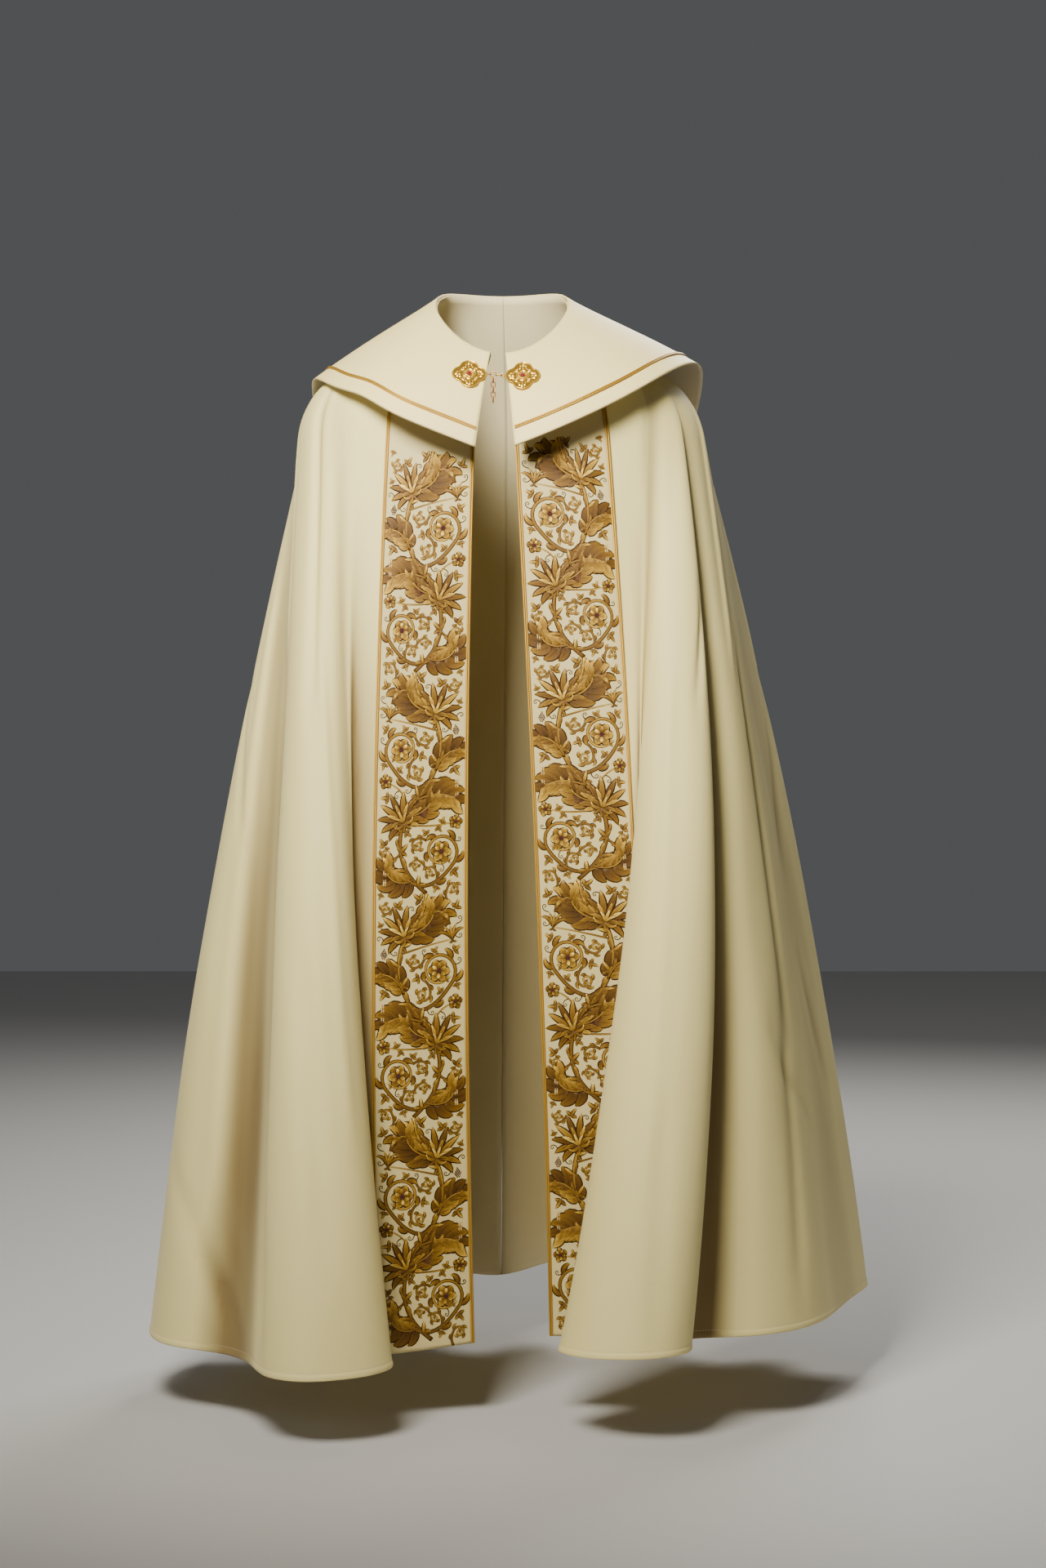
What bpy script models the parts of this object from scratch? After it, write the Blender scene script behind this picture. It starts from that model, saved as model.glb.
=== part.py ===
"""A cope: a long ceremonial cloak, open in front, in the hollow form it has when worn.

Metres, +Z up, the front towards -Y. The origin is the middle of the neck opening, where
the wearer's shoulders carry the cloth. "Right" and "left" are the wearer's own sides.
Every cloth wall is the outer face that its fold lines give, with the thickness laid inwards.
"""

import math
from collections import namedtuple

import bpy
import numpy as np
from mathutils import Matrix, Vector

# Cloth thicknesses, and the gap that pieces keep where they are sewn together
MANTLE_CLOTH = 0.0020
ORPHREY_CLOTH = 0.0012
COLLAR_CLOTH = 0.0016
LINING_CLOTH = 0.0010
BRAID_THICK = 0.0012
SEAM_GAP = 0.0003

# Widths of the bands
ORPHREY_WIDTH = 0.134
BRAID_WIDTH = 0.005
COLLAR_BRAID_INSET = 0.022

# Heights of the neck, the chest line that the cloth hangs from, and the hem
CHEST_Z = -0.160
HEM_Z = -1.340
HEM_SLOPE = 0.015
HEM_SLOPE_REACH = 0.15
CHEST_SHARE = 0.20

# Neck opening: an oval ring that is low in front and high behind
NECK_HALF_WIDTH = 0.088
NECK_FRONT = 0.112
NECK_BACK = 0.085
NECK_MEAN_Z = -0.0045
NECK_TILT_Z = 0.0535
NECK_SIDE_RISE = 0.0285
NECK_CROWDING_DEG = 24.0

# Chest ring: a squared oval
CHEST_HALF_WIDTH = 0.272
CHEST_FRONT = 0.173
CHEST_BACK = 0.165
CHEST_CENTRE_Y = 0.015
CHEST_SQUARENESS = 2.4
FOLD_AT_CHEST = 0.07
DEPTH_BOW = 0.40
HEM_MEAN_RADIUS = 0.40

# Slope of the cloth where it leaves the neck, and how far it keeps it
FRONT_SLOPE_DEG = 72.0
SIDE_SLOPE_DEG = 41.0
BACK_SLOPE_DEG = 68.0
SLOPE_REACH = 0.50

# One row for each ridge or valley that runs from the chest to the hem, from the right
# front edge round the back to the left front edge. chest_deg is its place on the chest
# ring, 0 in front and 90 at the wearer's right; hem_x and hem_y are where it meets the
# hem; bow is above 0 where it swings sideways early and below 0 where it swings late;
# sway is how far it stands to the left of that path halfway down, in metres.
FoldLine = namedtuple("FoldLine", "name chest_deg hem_x hem_y bow sway")
FOLD_LINES = [
    FoldLine("right_front_edge", 5.0, -0.035, -0.155, 0.45, -0.009),
    FoldLine("right_orphrey_middle", 18.0, -0.100, -0.178, 0.45, -0.009),
    FoldLine("right_orphrey_edge", 31.5, -0.166, -0.198, 0.45, -0.009),
    FoldLine("right_roll_floor", 39.5, -0.194, -0.214, -0.10, -0.004),
    FoldLine("right_roll_underside", 45.0, -0.172, -0.243, -0.50, -0.002),
    FoldLine("right_roll_lip", 50.0, -0.139, -0.262, -0.60, -0.002),
    FoldLine("right_roll_front", 54.5, -0.146, -0.308, -0.50, 0.0),
    FoldLine("right_roll_dip", 61.0, -0.190, -0.346, -0.20, 0.0),
    FoldLine("right_roll_crest", 69.0, -0.243, -0.356, 0.05, 0.0),
    FoldLine("right_roll_heel", 79.0, -0.288, -0.326, 0.10, 0.0),
    FoldLine("right_main_valley", 87.0, -0.316, -0.245, 0.05, 0.0),
    FoldLine("right_side_slope", 93.0, -0.366, -0.166, 0.20, -0.003),
    FoldLine("right_side_ridge", 99.0, -0.430, -0.118, 0.30, -0.004),
    FoldLine("right_outline", 106.0, -0.474, -0.010, 0.35, -0.004),
    FoldLine("right_side_back", 113.0, -0.456, 0.092, 0.35, 0.0),
    FoldLine("right_back_valley", 121.5, -0.396, 0.172, 0.30, 0.0),
    FoldLine("right_back_ridge", 131.0, -0.402, 0.280, 0.30, 0.0),
    FoldLine("back_valley_1", 141.0, -0.316, 0.292, 0.20, 0.0),
    FoldLine("back_ridge_1", 150.5, -0.258, 0.398, 0.25, 0.0),
    FoldLine("back_valley_2", 160.5, -0.166, 0.346, 0.20, 0.0),
    FoldLine("back_ridge_2", 170.5, -0.090, 0.438, 0.25, 0.0),
    FoldLine("centre_back", 180.5, -0.004, 0.362, 0.20, 0.0),
    FoldLine("back_ridge_3", 190.5, 0.084, 0.444, 0.25, 0.0),
    FoldLine("back_valley_3", 200.5, 0.164, 0.350, 0.20, 0.0),
    FoldLine("back_ridge_4", 210.5, 0.256, 0.412, 0.25, 0.0),
    FoldLine("back_valley_4", 220.5, 0.322, 0.306, 0.20, 0.0),
    FoldLine("left_back_ridge", 231.0, 0.420, 0.330, 0.25, 0.0),
    FoldLine("left_back_valley", 241.0, 0.446, 0.238, 0.30, 0.0),
    FoldLine("left_side_back", 250.0, 0.500, 0.218, 0.35, 0.0),
    FoldLine("left_outline", 259.0, 0.488, 0.100, 0.38, 0.0),
    FoldLine("left_side_ridge", 267.0, 0.450, -0.022, 0.30, 0.0),
    FoldLine("left_side_valley", 275.0, 0.408, -0.126, 0.20, 0.006),
    FoldLine("left_side_slope", 283.0, 0.352, -0.190, 0.20, 0.014),
    FoldLine("left_side_crest", 291.0, 0.296, -0.212, 0.25, 0.022),
    FoldLine("left_main_valley", 298.0, 0.238, -0.226, 0.10, 0.026),
    FoldLine("left_roll_heel", 300.5, 0.238, -0.300, 0.05, 0.034),
    FoldLine("left_roll_crest", 303.5, 0.186, -0.350, -0.10, 0.026),
    FoldLine("left_roll_dip", 306.5, 0.132, -0.342, -0.35, 0.012),
    FoldLine("left_roll_front", 310.0, 0.088, -0.303, -0.70, 0.002),
    FoldLine("left_roll_lip", 313.0, 0.075, -0.252, -0.80, 0.0),
    FoldLine("left_roll_underside", 316.0, 0.125, -0.232, -0.71, 0.0),
    FoldLine("left_roll_turn", 319.3, 0.190, -0.226, 0.00, -0.0085),
    FoldLine("left_roll_floor", 323.8, 0.214, -0.207, 0.00, -0.0115),
    FoldLine("left_orphrey_edge", 332.0, 0.192, -0.197, 0.45, 0.0015),
    FoldLine("left_orphrey_middle", 345.3, 0.128, -0.180, 0.45, 0.001),
    FoldLine("left_front_edge", 358.0, 0.063, -0.158, 0.45, 0.0),
]

# The collar's outer edge, from the right front corner round the back to the left one.
# neck_deg is where each line leaves the neck ring; x, y and z are on the outer edge.
CollarLine = namedtuple("CollarLine", "name neck_deg x y z")
COLLAR_LINES = [
    CollarLine("right_front_corner", 9.5, -0.034, -0.184, -0.188),
    CollarLine("right_chest", 26.0, -0.092, -0.184, -0.165),
    CollarLine("right_chest_side", 43.0, -0.145, -0.170, -0.140),
    CollarLine("right_shoulder_front", 59.0, -0.184, -0.138, -0.115),
    CollarLine("right_shoulder_slope", 75.0, -0.222, -0.082, -0.097),
    CollarLine("right_shoulder_tip", 91.0, -0.252, 0.008, -0.077),
    CollarLine("right_shoulder_back", 107.0, -0.258, 0.094, -0.100),
    CollarLine("right_blade", 124.0, -0.240, 0.168, -0.168),
    CollarLine("right_hood", 142.0, -0.176, 0.225, -0.262),
    CollarLine("right_hood_side", 161.0, -0.082, 0.253, -0.330),
    CollarLine("hood_point", 180.0, 0.0, 0.260, -0.352),
    CollarLine("left_hood_side", 199.0, 0.084, 0.253, -0.330),
    CollarLine("left_hood", 218.0, 0.182, 0.225, -0.262),
    CollarLine("left_blade", 236.0, 0.250, 0.168, -0.164),
    CollarLine("left_shoulder_back", 253.0, 0.272, 0.094, -0.084),
    CollarLine("left_shoulder_tip", 269.0, 0.264, 0.008, -0.057),
    CollarLine("left_shoulder_slope", 284.0, 0.232, -0.074, -0.072),
    CollarLine("left_shoulder_front", 300.0, 0.190, -0.134, -0.101),
    CollarLine("left_chest_side", 317.0, 0.140, -0.168, -0.131),
    CollarLine("left_chest", 335.0, 0.080, -0.184, -0.161),
    CollarLine("left_front_corner", 356.7, 0.018, -0.184, -0.186),
]
COLLAR_FRONT_BULGE = 0.035
COLLAR_SIDE_BULGE = 0.006
COLLAR_BACK_BULGE = 0.060
COLLAR_STAND = 0.003
COLLAR_NECK_GAP = 0.0007

# Rows down the mantle, as shares of the way from the neck to the hem
SHOULDER_ROWS = [0.0, 0.03, 0.06, 0.10, 0.15]
HANGING_ROWS = 9
ORPHREY_TOP_ROW = 3
COLUMN_LENGTH = 0.055
COLUMN_TURN = 0.80
COLLAR_COLUMNS = 38
COLLAR_ROWS = 5

# The clasp: two plates on the collar, a ring in an eye, a hook and a short chain
PLATE_HALF_WIDTH = 0.0235
PLATE_HALF_HEIGHT = 0.0245
PLATE_BASE = 0.0014
PLATE_SPOKES = 32
PLATE_PROFILE_RINGS = [0.10, 0.17, 0.24, 0.31, 0.42, 0.56, 0.70, 0.82, 0.91, 1.0]
PLATE_Z = -0.089
RIGHT_PLATE_X = -0.0415
LEFT_PLATE_X = 0.0275
WIRE = 0.0006
EYE_RADIUS = 0.0021
RING_RADIUS = 0.0042
LINK_RADIUS = 0.0026
LINK_STRETCH = 0.0030
LINK_WIRE = 0.0007
LINKS = 5

CLOTH_COLOUR = (0.86, 0.81, 0.66)
SATIN_COLOUR = (0.88, 0.84, 0.73)
COLLAR_COLOUR = (0.87, 0.80, 0.68)
LINING_COLOUR = (0.84, 0.78, 0.66)
BRAID_COLOUR = (0.72, 0.50, 0.16)
GOLD_COLOUR = (0.83, 0.62, 0.20)
CHAIN_COLOUR = (0.74, 0.45, 0.16)
STONE_COLOUR = (0.30, 0.02, 0.04)


def clear_scene():
    """Removes every object, so that the file holds only the cope."""
    for obj in list(bpy.data.objects):
        bpy.data.objects.remove(obj)


def material(name, colour, roughness, metallic=0.0):
    made = bpy.data.materials.new(name)
    made.use_nodes = True
    shader = made.node_tree.nodes["Principled BSDF"]
    shader.inputs["Base Color"].default_value = (*colour, 1.0)
    shader.inputs["Roughness"].default_value = roughness
    shader.inputs["Metallic"].default_value = metallic
    return made


def smooth_through(knots, values, at):
    """A curve with no jumps in its bend that passes through values at knots, read at at."""
    count = len(knots)
    step = np.diff(knots)
    left, right = np.eye(count), np.zeros_like(values)
    for i in range(1, count - 1):
        left[i, i - 1] = step[i - 1]
        left[i, i] = 2.0 * (step[i - 1] + step[i])
        left[i, i + 1] = step[i]
        rise_after = (values[i + 1] - values[i]) / step[i]
        rise_before = (values[i] - values[i - 1]) / step[i - 1]
        right[i] = 6.0 * (rise_after - rise_before)
    bend = np.linalg.solve(left, right.reshape(count, -1)).reshape(values.shape)
    i = np.clip(np.searchsorted(knots, at, side="right") - 1, 0, count - 2)
    wide = (-1,) + (1,) * (values.ndim - 1)
    h = step[i].reshape(wide)
    b = ((at - knots[i]) / step[i]).reshape(wide)
    a = 1.0 - b
    curved = (a**3 - a) * bend[i] + (b**3 - b) * bend[i + 1]
    return a * values[i] + b * values[i + 1] + curved * h**2 / 6.0


def ring_point(degrees, half_width, front, back, squareness=2.0):
    """Points on an oval ring, 0 in front, 90 at the wearer's right."""
    turn = np.radians(degrees)
    sine, cosine = np.sin(turn), np.cos(turn)
    power = 2.0 / squareness
    x = -half_width * np.sign(sine) * np.abs(sine) ** power
    y = -np.where(cosine > 0, front, back) * np.sign(cosine) * np.abs(cosine) ** power
    return x, y


def neck_ring(degrees):
    x, y = ring_point(degrees, NECK_HALF_WIDTH, NECK_FRONT, NECK_BACK)
    turn = np.radians(degrees)
    z = NECK_MEAN_Z - NECK_TILT_Z * np.cos(turn) + NECK_SIDE_RISE * np.sin(turn) ** 2
    return np.stack([x, y, z], axis=-1)


def by_direction(degrees, front, side, back):
    """A value that is front at 0 degrees, side at 90 and 270, and back at 180."""
    cosine = np.cos(np.radians(degrees))
    return side + np.where(cosine > 0, front - side, back - side) * cosine**2


def fold_columns():
    """The table's columns as arrays."""
    chest_deg = np.array([line.chest_deg for line in FOLD_LINES])
    hem = np.array([(line.hem_x, line.hem_y) for line in FOLD_LINES])
    bow = np.array([line.bow for line in FOLD_LINES])
    sway = np.array([line.sway for line in FOLD_LINES])
    return chest_deg, hem, bow, sway


def fold_places():
    """How far each fold line is along the hem, measured straight from line to line."""
    _, hem, _, _ = fold_columns()
    return np.concatenate([[0.0], np.cumsum(np.linalg.norm(np.diff(hem, axis=0), axis=1))])


def fold_line_points(share):
    """Every fold line's point at this share of the way from the neck to the hem."""
    chest_deg, hem_xy, bow, sway = fold_columns()
    neck_deg = chest_deg + NECK_CROWDING_DEG * np.sin(np.radians(2.0 * chest_deg))
    neck = neck_ring(neck_deg)
    chest_x, chest_y = ring_point(
        chest_deg, CHEST_HALF_WIDTH, CHEST_FRONT, CHEST_BACK, CHEST_SQUARENESS
    )
    outwards = FOLD_AT_CHEST * (np.linalg.norm(hem_xy, axis=1) - HEM_MEAN_RADIUS)
    turn = np.radians(chest_deg)
    chest_x = chest_x - outwards * np.sin(turn)
    chest_y = chest_y + CHEST_CENTRE_Y - outwards * np.cos(turn)
    chest = np.stack([chest_x, chest_y, np.full_like(chest_x, CHEST_Z)], axis=-1)
    hem_z = HEM_Z + HEM_SLOPE * np.tanh(hem_xy[:, 0] / HEM_SLOPE_REACH)
    hem = np.column_stack([hem_xy, hem_z])
    fall = hem - chest
    swing = np.stack([1.0 + bow, np.full_like(bow, 1.0 + DEPTH_BOW), np.ones_like(bow)], axis=-1)
    if share >= CHEST_SHARE:
        down = (share - CHEST_SHARE) / (1.0 - CHEST_SHARE)
        path = chest + fall * (down + (swing - 1.0) * down * (1.0 - down))
        path[:, 0] += sway * 4.0 * down * (1.0 - down)
        return path
    slope = np.radians(by_direction(neck_deg, FRONT_SLOPE_DEG, SIDE_SLOPE_DEG, BACK_SLOPE_DEG))
    reach = SLOPE_REACH * np.linalg.norm(chest - neck, axis=1)
    flat = chest[:, :2] - neck[:, :2]
    flat = flat / np.linalg.norm(flat, axis=1)[:, None]
    leave = np.column_stack([flat * np.cos(slope)[:, None], -np.sin(slope)]) * reach[:, None]
    fall = fall * swing
    fall[:, 0] += sway * 4.0
    arrive = fall * CHEST_SHARE / (1.0 - CHEST_SHARE) / 3.0
    return bezier(neck, neck + leave, chest - arrive, chest, share / CHEST_SHARE)


def bezier(start, after_start, before_end, end, s):
    r = 1.0 - s
    return r**3 * start + 3 * r**2 * s * after_start + 3 * r * s**2 * before_end + s**3 * end


def mantle_grid(places, shares):
    """The mantle's outer face: one row of points for each share, one column for each place."""
    knots = fold_places()
    rows = [smooth_through(knots, fold_line_points(share), places) for share in shares]
    return np.array(rows)


def columns_between(start, end):
    """Places along the hem from start to end, closer together where the hem turns sharply."""
    fine = np.linspace(start, end, 800)
    hem = smooth_through(fold_places(), fold_line_points(1.0), fine)
    ahead = np.diff(hem[:, :2], axis=0)
    length = np.linalg.norm(ahead, axis=1)
    heading = np.unwrap(np.arctan2(ahead[:, 1], ahead[:, 0]))
    turning = np.abs(np.diff(heading, append=heading[-1]))
    cost = np.concatenate([[0.0], np.cumsum(length / COLUMN_LENGTH + turning / COLUMN_TURN)])
    count = max(2, round(cost[-1]) + 1)
    return np.interp(np.linspace(0.0, cost[-1], count), cost, fine)


def mantle_rows():
    hanging = np.linspace(CHEST_SHARE, 1.0, HANGING_ROWS + 1)
    return np.concatenate([SHOULDER_ROWS, hanging])


def grid_normals(grid):
    """Unit vectors out of the cloth at each point, for columns that run right to left."""
    down = np.gradient(grid, axis=0)
    across = np.gradient(grid, axis=1)
    out = np.cross(across, down)
    return out / np.linalg.norm(out, axis=2)[..., None]


def wall(name, outer, inner, look):
    """A closed solid between two grids of the same size."""
    rows, columns = outer.shape[:2]
    points = np.concatenate([outer.reshape(-1, 3), inner.reshape(-1, 3)])
    behind = rows * columns

    def at(row, column):
        return row * columns + column

    faces = []
    for i in range(rows - 1):
        for j in range(columns - 1):
            a, b, c, d = at(i, j), at(i, j + 1), at(i + 1, j + 1), at(i + 1, j)
            for corner, middle, end in ((a, b, c), (a, c, d)):
                faces.append((corner, middle, end))
                faces.append((end + behind, middle + behind, corner + behind))
    around = [at(0, j) for j in range(columns)]
    around += [at(i, columns - 1) for i in range(1, rows)]
    around += [at(rows - 1, j) for j in range(columns - 2, -1, -1)]
    around += [at(i, 0) for i in range(rows - 2, 0, -1)]
    for k, here in enumerate(around):
        ahead = around[(k + 1) % len(around)]
        faces.append((ahead, here, here + behind, ahead + behind))
    mesh = bpy.data.meshes.new(name)
    mesh.from_pydata(points.tolist(), [], faces)
    return link(name, mesh, look)


def link(name, mesh, look):
    mesh.validate()
    mesh.shade_smooth()
    mesh.materials.append(look)
    obj = bpy.data.objects.new(name, mesh)
    bpy.context.scene.collection.objects.link(obj)
    return obj


def lifted(grid, normals, height):
    return grid + normals * height


def drawn_in(grid, at_start, at_end):
    """Moves the first or last column half a seam gap towards the panel's own middle."""
    moved = grid.copy()
    for use, edge, inside in ((at_start, 0, 1), (at_end, -1, -2)):
        if use:
            inwards = grid[:, inside] - grid[:, edge]
            inwards = inwards / np.linalg.norm(inwards, axis=1)[:, None]
            moved[:, edge] = grid[:, edge] + inwards * SEAM_GAP / 2
    return moved


def place_of(name):
    names = [line.name for line in FOLD_LINES]
    return fold_places()[names.index(name)]


def orphrey_places(edge, towards):
    """Columns across an orphrey from the front edge, with one at each side of both braids."""
    steps = [0.0, BRAID_WIDTH, 0.035, 0.065, 0.095, ORPHREY_WIDTH - BRAID_WIDTH, ORPHREY_WIDTH]
    return [edge + towards * step for step in steps]


def panel(name, places, seams, look):
    """One panel of the mantle. seams says which of its two long edges is sewn to a neighbour."""
    face = mantle_grid(np.array(places), mantle_rows())
    normals = grid_normals(face)
    face = drawn_in(face, *seams)
    wall(name, face, lifted(face, normals, -MANTLE_CLOTH), look)
    return face, normals


def band(name, face, normals, columns, base, thickness, look):
    """A strip that lies on a panel: the panel's own points, moved out."""
    first_row = ORPHREY_TOP_ROW
    under = lifted(face, normals, base)[first_row:, columns]
    over = lifted(face, normals, base + thickness)[first_row:, columns]
    return wall(name, over, under, look)


def dress_front(side, face, normals, orphrey_columns, looks):
    """The embroidered band and its two gold braids on one front."""
    first, last = orphrey_columns.start, orphrey_columns.stop
    front_is_first = side == "right"
    base = SEAM_GAP
    band(f"orphrey_{side}", face, normals, orphrey_columns, base, ORPHREY_CLOTH, looks["satin"])
    base += ORPHREY_CLOTH + SEAM_GAP
    edges = {
        "front": slice(first, first + 2) if front_is_first else slice(last - 2, last),
        "outer": slice(last - 2, last) if front_is_first else slice(first, first + 2),
    }
    for edge, columns in edges.items():
        name = f"orphrey_braid_{edge}_{side}"
        band(name, face, normals, columns, base, BRAID_THICK, looks["braid"])


def build_mantle(looks):
    """The two quarter circles, sewn at the centre back, with the orphreys on their fronts."""
    centre, end = place_of("centre_back"), fold_places()[-1]
    right_band = orphrey_places(0.0, 1.0)
    left_band = orphrey_places(end, -1.0)[::-1]
    right = right_band + columns_between(right_band[-1], centre)[1:].tolist()
    left = columns_between(centre, left_band[0])[:-1].tolist() + left_band
    face, normals = panel("mantle_right", right, (False, True), looks["cloth"])
    dress_front("right", face, normals, slice(0, len(right_band)), looks)
    face, normals = panel("mantle_left", left, (True, False), looks["cloth"])
    dress_front("left", face, normals, slice(len(left) - len(left_band), len(left)), looks)


def collar_grid(columns, rows):
    """The surface that the collar's lining rests on. rows are distances from the outer edge."""
    neck_deg = np.array([line.neck_deg for line in COLLAR_LINES])
    edge = np.array([(line.x, line.y, line.z) for line in COLLAR_LINES])
    degrees = np.interp(columns, np.linspace(0.0, 1.0, len(neck_deg)), neck_deg)
    outer = smooth_through(neck_deg, edge, degrees)
    neck = neck_ring(degrees)
    chord = outer - neck
    length = np.linalg.norm(chord, axis=1)
    turn = np.radians(degrees)
    sideways = np.stack([np.cos(turn), -np.sin(turn), np.zeros_like(turn)], axis=-1)
    bulge_way = np.cross(chord, sideways)
    bulge_way = bulge_way / np.linalg.norm(bulge_way, axis=1)[:, None]
    bulge = by_direction(degrees, COLLAR_FRONT_BULGE, COLLAR_SIDE_BULGE, COLLAR_BACK_BULGE)
    push = bulge_way * (bulge * length)[:, None]
    grid, stand = [], []
    for row in rows:
        share = (row(length) / length)[:, None]
        grid.append(bezier(neck, neck + chord / 3 + push, neck + chord * 2 / 3 + push, outer, share))
        stand.append(COLLAR_NECK_GAP + COLLAR_STAND * 4.0 * share * (1.0 - share))
    grid = np.array(grid)
    return grid + grid_normals(grid) * np.array(stand)


def collar_rows(count):
    """From the neck: even rows as far as the braid, its two sides, and the outer edge."""

    def even(part):
        return lambda length: part * (length - COLLAR_BRAID_INSET - BRAID_WIDTH)

    rows = [even(part) for part in np.linspace(0.0, 1.0, count)]
    rows.append(lambda length: length - COLLAR_BRAID_INSET)
    rows.append(lambda length: length)
    return rows


def build_collar(looks):
    """The broad collar, its lining, and the gold braid that follows its outer edge."""
    columns = np.linspace(0.0, 1.0, COLLAR_COLUMNS + 1)
    rest = collar_grid(columns, collar_rows(COLLAR_ROWS))
    normals = grid_normals(rest)
    under = LINING_CLOTH + SEAM_GAP
    over = under + COLLAR_CLOTH
    wall("collar", lifted(rest, normals, over), lifted(rest, normals, under), looks["collar"])
    wall("collar_lining", lifted(rest, normals, LINING_CLOTH), rest, looks["lining"])
    base = over + SEAM_GAP
    braid = slice(COLLAR_ROWS - 1, COLLAR_ROWS + 1)
    top = lifted(rest, normals, base + BRAID_THICK)[braid]
    wall("collar_braid", top, lifted(rest, normals, base)[braid], looks["braid"])


def collar_top():
    """Points of the collar's outer face, close together, for what is seated on it."""
    rest = collar_grid(np.linspace(0.0, 1.0, 321), collar_rows(30))
    over = LINING_CLOTH + SEAM_GAP + COLLAR_CLOTH
    return lifted(rest, grid_normals(rest), over), grid_normals(rest)


def plate_frame(x, z):
    """Where a clasp plate lies: its middle, and its right, up and outward directions."""
    points, normals = (part.reshape(-1, 3) for part in collar_top())
    front = points[:, 1] < 0.0
    points, normals = points[front], normals[front]
    nearest = np.argmin((points[:, 0] - x) ** 2 + (points[:, 2] - z) ** 2)
    out = Vector(normals[nearest])
    right = Vector((0.0, 0.0, 1.0)).cross(out).normalized()
    up = out.cross(right)
    middle = Vector(points[nearest])
    reach = np.linalg.norm(points - np.array(middle), axis=1) < PLATE_HALF_WIDTH * 1.05
    proud = ((points[reach] - np.array(middle)) @ np.array(out)).max()
    middle = middle + out * (float(proud) + SEAM_GAP)
    return middle, right, up, out


def plate_outline(turn):
    """A lozenge with a round lobe at each corner and a small one on each side."""
    lobes = 0.090 * math.cos(4.0 * turn) - 0.020 * math.cos(8.0 * turn)
    return 0.905 + lobes + 0.010 * math.cos(12.0 * turn)


def plate_relief(turn, share):
    """Height of the front above the base: rim, leaf scrolls, a waist and the stone's collet."""
    rim = 0.0011 * math.exp(-(((share - 0.90) / 0.06) ** 2))
    leaf = 0.0010 * math.exp(-(((share - 0.66) / 0.16) ** 2))
    leaf = leaf * (0.5 + 0.5 * math.cos(8.0 * turn + 5.0 * share))
    collet = 0.0022 * math.exp(-(((share - 0.24) / 0.07) ** 2))
    ring = 0.0008 * math.exp(-(((share - 0.42) / 0.05) ** 2))
    return rim + leaf + collet + ring


def build_plate(name, frame, look):
    """One gilt plate with its relief, closed behind."""
    middle, right, up, out = frame
    points, faces = [], []

    def corner(turn, share, height):
        reach = plate_outline(turn) * share
        across = right * (PLATE_HALF_WIDTH * reach * math.cos(turn))
        along = up * (PLATE_HALF_HEIGHT * reach * math.sin(turn))
        return middle + across + along + out * height

    turns = [2.0 * math.pi * k / PLATE_SPOKES for k in range(PLATE_SPOKES)]
    points.append(middle + out * PLATE_BASE)
    for share in PLATE_PROFILE_RINGS:
        for turn in turns:
            height = PLATE_BASE + plate_relief(turn, share)
            points.append(corner(turn, share, height))
    points += [corner(turn, 0.985, 0.0) for turn in turns]
    points.append(middle)
    rings = len(PLATE_PROFILE_RINGS) + 1
    last = len(points) - 1
    for k in range(PLATE_SPOKES):
        n = (k + 1) % PLATE_SPOKES
        faces.append((0, 1 + k, 1 + n))
        for ring in range(rings - 1):
            a, b = 1 + ring * PLATE_SPOKES, 1 + (ring + 1) * PLATE_SPOKES
            faces.append((a + k, b + k, b + n))
            faces.append((a + k, b + n, a + n))
        a = 1 + (rings - 1) * PLATE_SPOKES
        faces.append((a + k, last, a + n))
    mesh = bpy.data.meshes.new(name)
    mesh.from_pydata([tuple(point) for point in points], [], faces)
    return link(name, mesh, look)


def build_stone(name, frame, look):
    """A round cut stone held in the middle of a plate."""
    middle, right, up, out = frame
    profile = [(0.0017, 0.0004), (0.0028, 0.0010), (0.0022, 0.0022), (0.0011, 0.0028)]
    sides = 12
    base = middle + out * (PLATE_BASE + 0.0002)
    points = [base + out * profile[0][1]]
    for radius, height in profile:
        for k in range(sides):
            turn = 2.0 * math.pi * k / sides
            flat = right * (radius * math.cos(turn)) + up * (radius * math.sin(turn))
            points.append(base + flat + out * height)
    points.append(base + out * profile[-1][1])
    faces = []
    top = len(points) - 1
    for k in range(sides):
        n = (k + 1) % sides
        faces.append((0, 1 + n, 1 + k))
        for ring in range(len(profile) - 1):
            a, b = 1 + ring * sides, 1 + (ring + 1) * sides
            faces.append((a + k, a + n, b + n))
            faces.append((a + k, b + n, b + k))
        a = 1 + (len(profile) - 1) * sides
        faces.append((a + k, a + n, top))
    mesh = bpy.data.meshes.new(name)
    mesh.from_pydata([tuple(point) for point in points], [], faces)
    return link(name, mesh, look)


def build_loop(name, middle, along, side, radius, stretch, wire, look):
    """A closed loop of round wire in the plane of along and side, stretched along along."""
    middle, along, side = Vector(middle), Vector(along).normalized(), Vector(side).normalized()
    out = along.cross(side)
    steps, around = 14, 5
    points, faces = [], []
    for k in range(steps):
        turn = 2.0 * math.pi * (k + 0.5) / steps
        way = along * math.cos(turn) + side * math.sin(turn)
        end = along * math.copysign(stretch / 2.0, math.cos(turn))
        for j in range(around):
            tilt = 2.0 * math.pi * j / around
            thick = way * (wire * math.cos(tilt)) + out * (wire * math.sin(tilt))
            points.append(middle + end + way * radius + thick)
    for k in range(steps):
        n = (k + 1) % steps
        for j in range(around):
            m = (j + 1) % around
            a, b, c, d = (k * around + j, n * around + j, n * around + m, k * around + m)
            faces.append((a, b, c))
            faces.append((a, c, d))
    mesh = bpy.data.meshes.new(name)
    mesh.from_pydata([tuple(point) for point in points], [], faces)
    return link(name, mesh, look)


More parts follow.
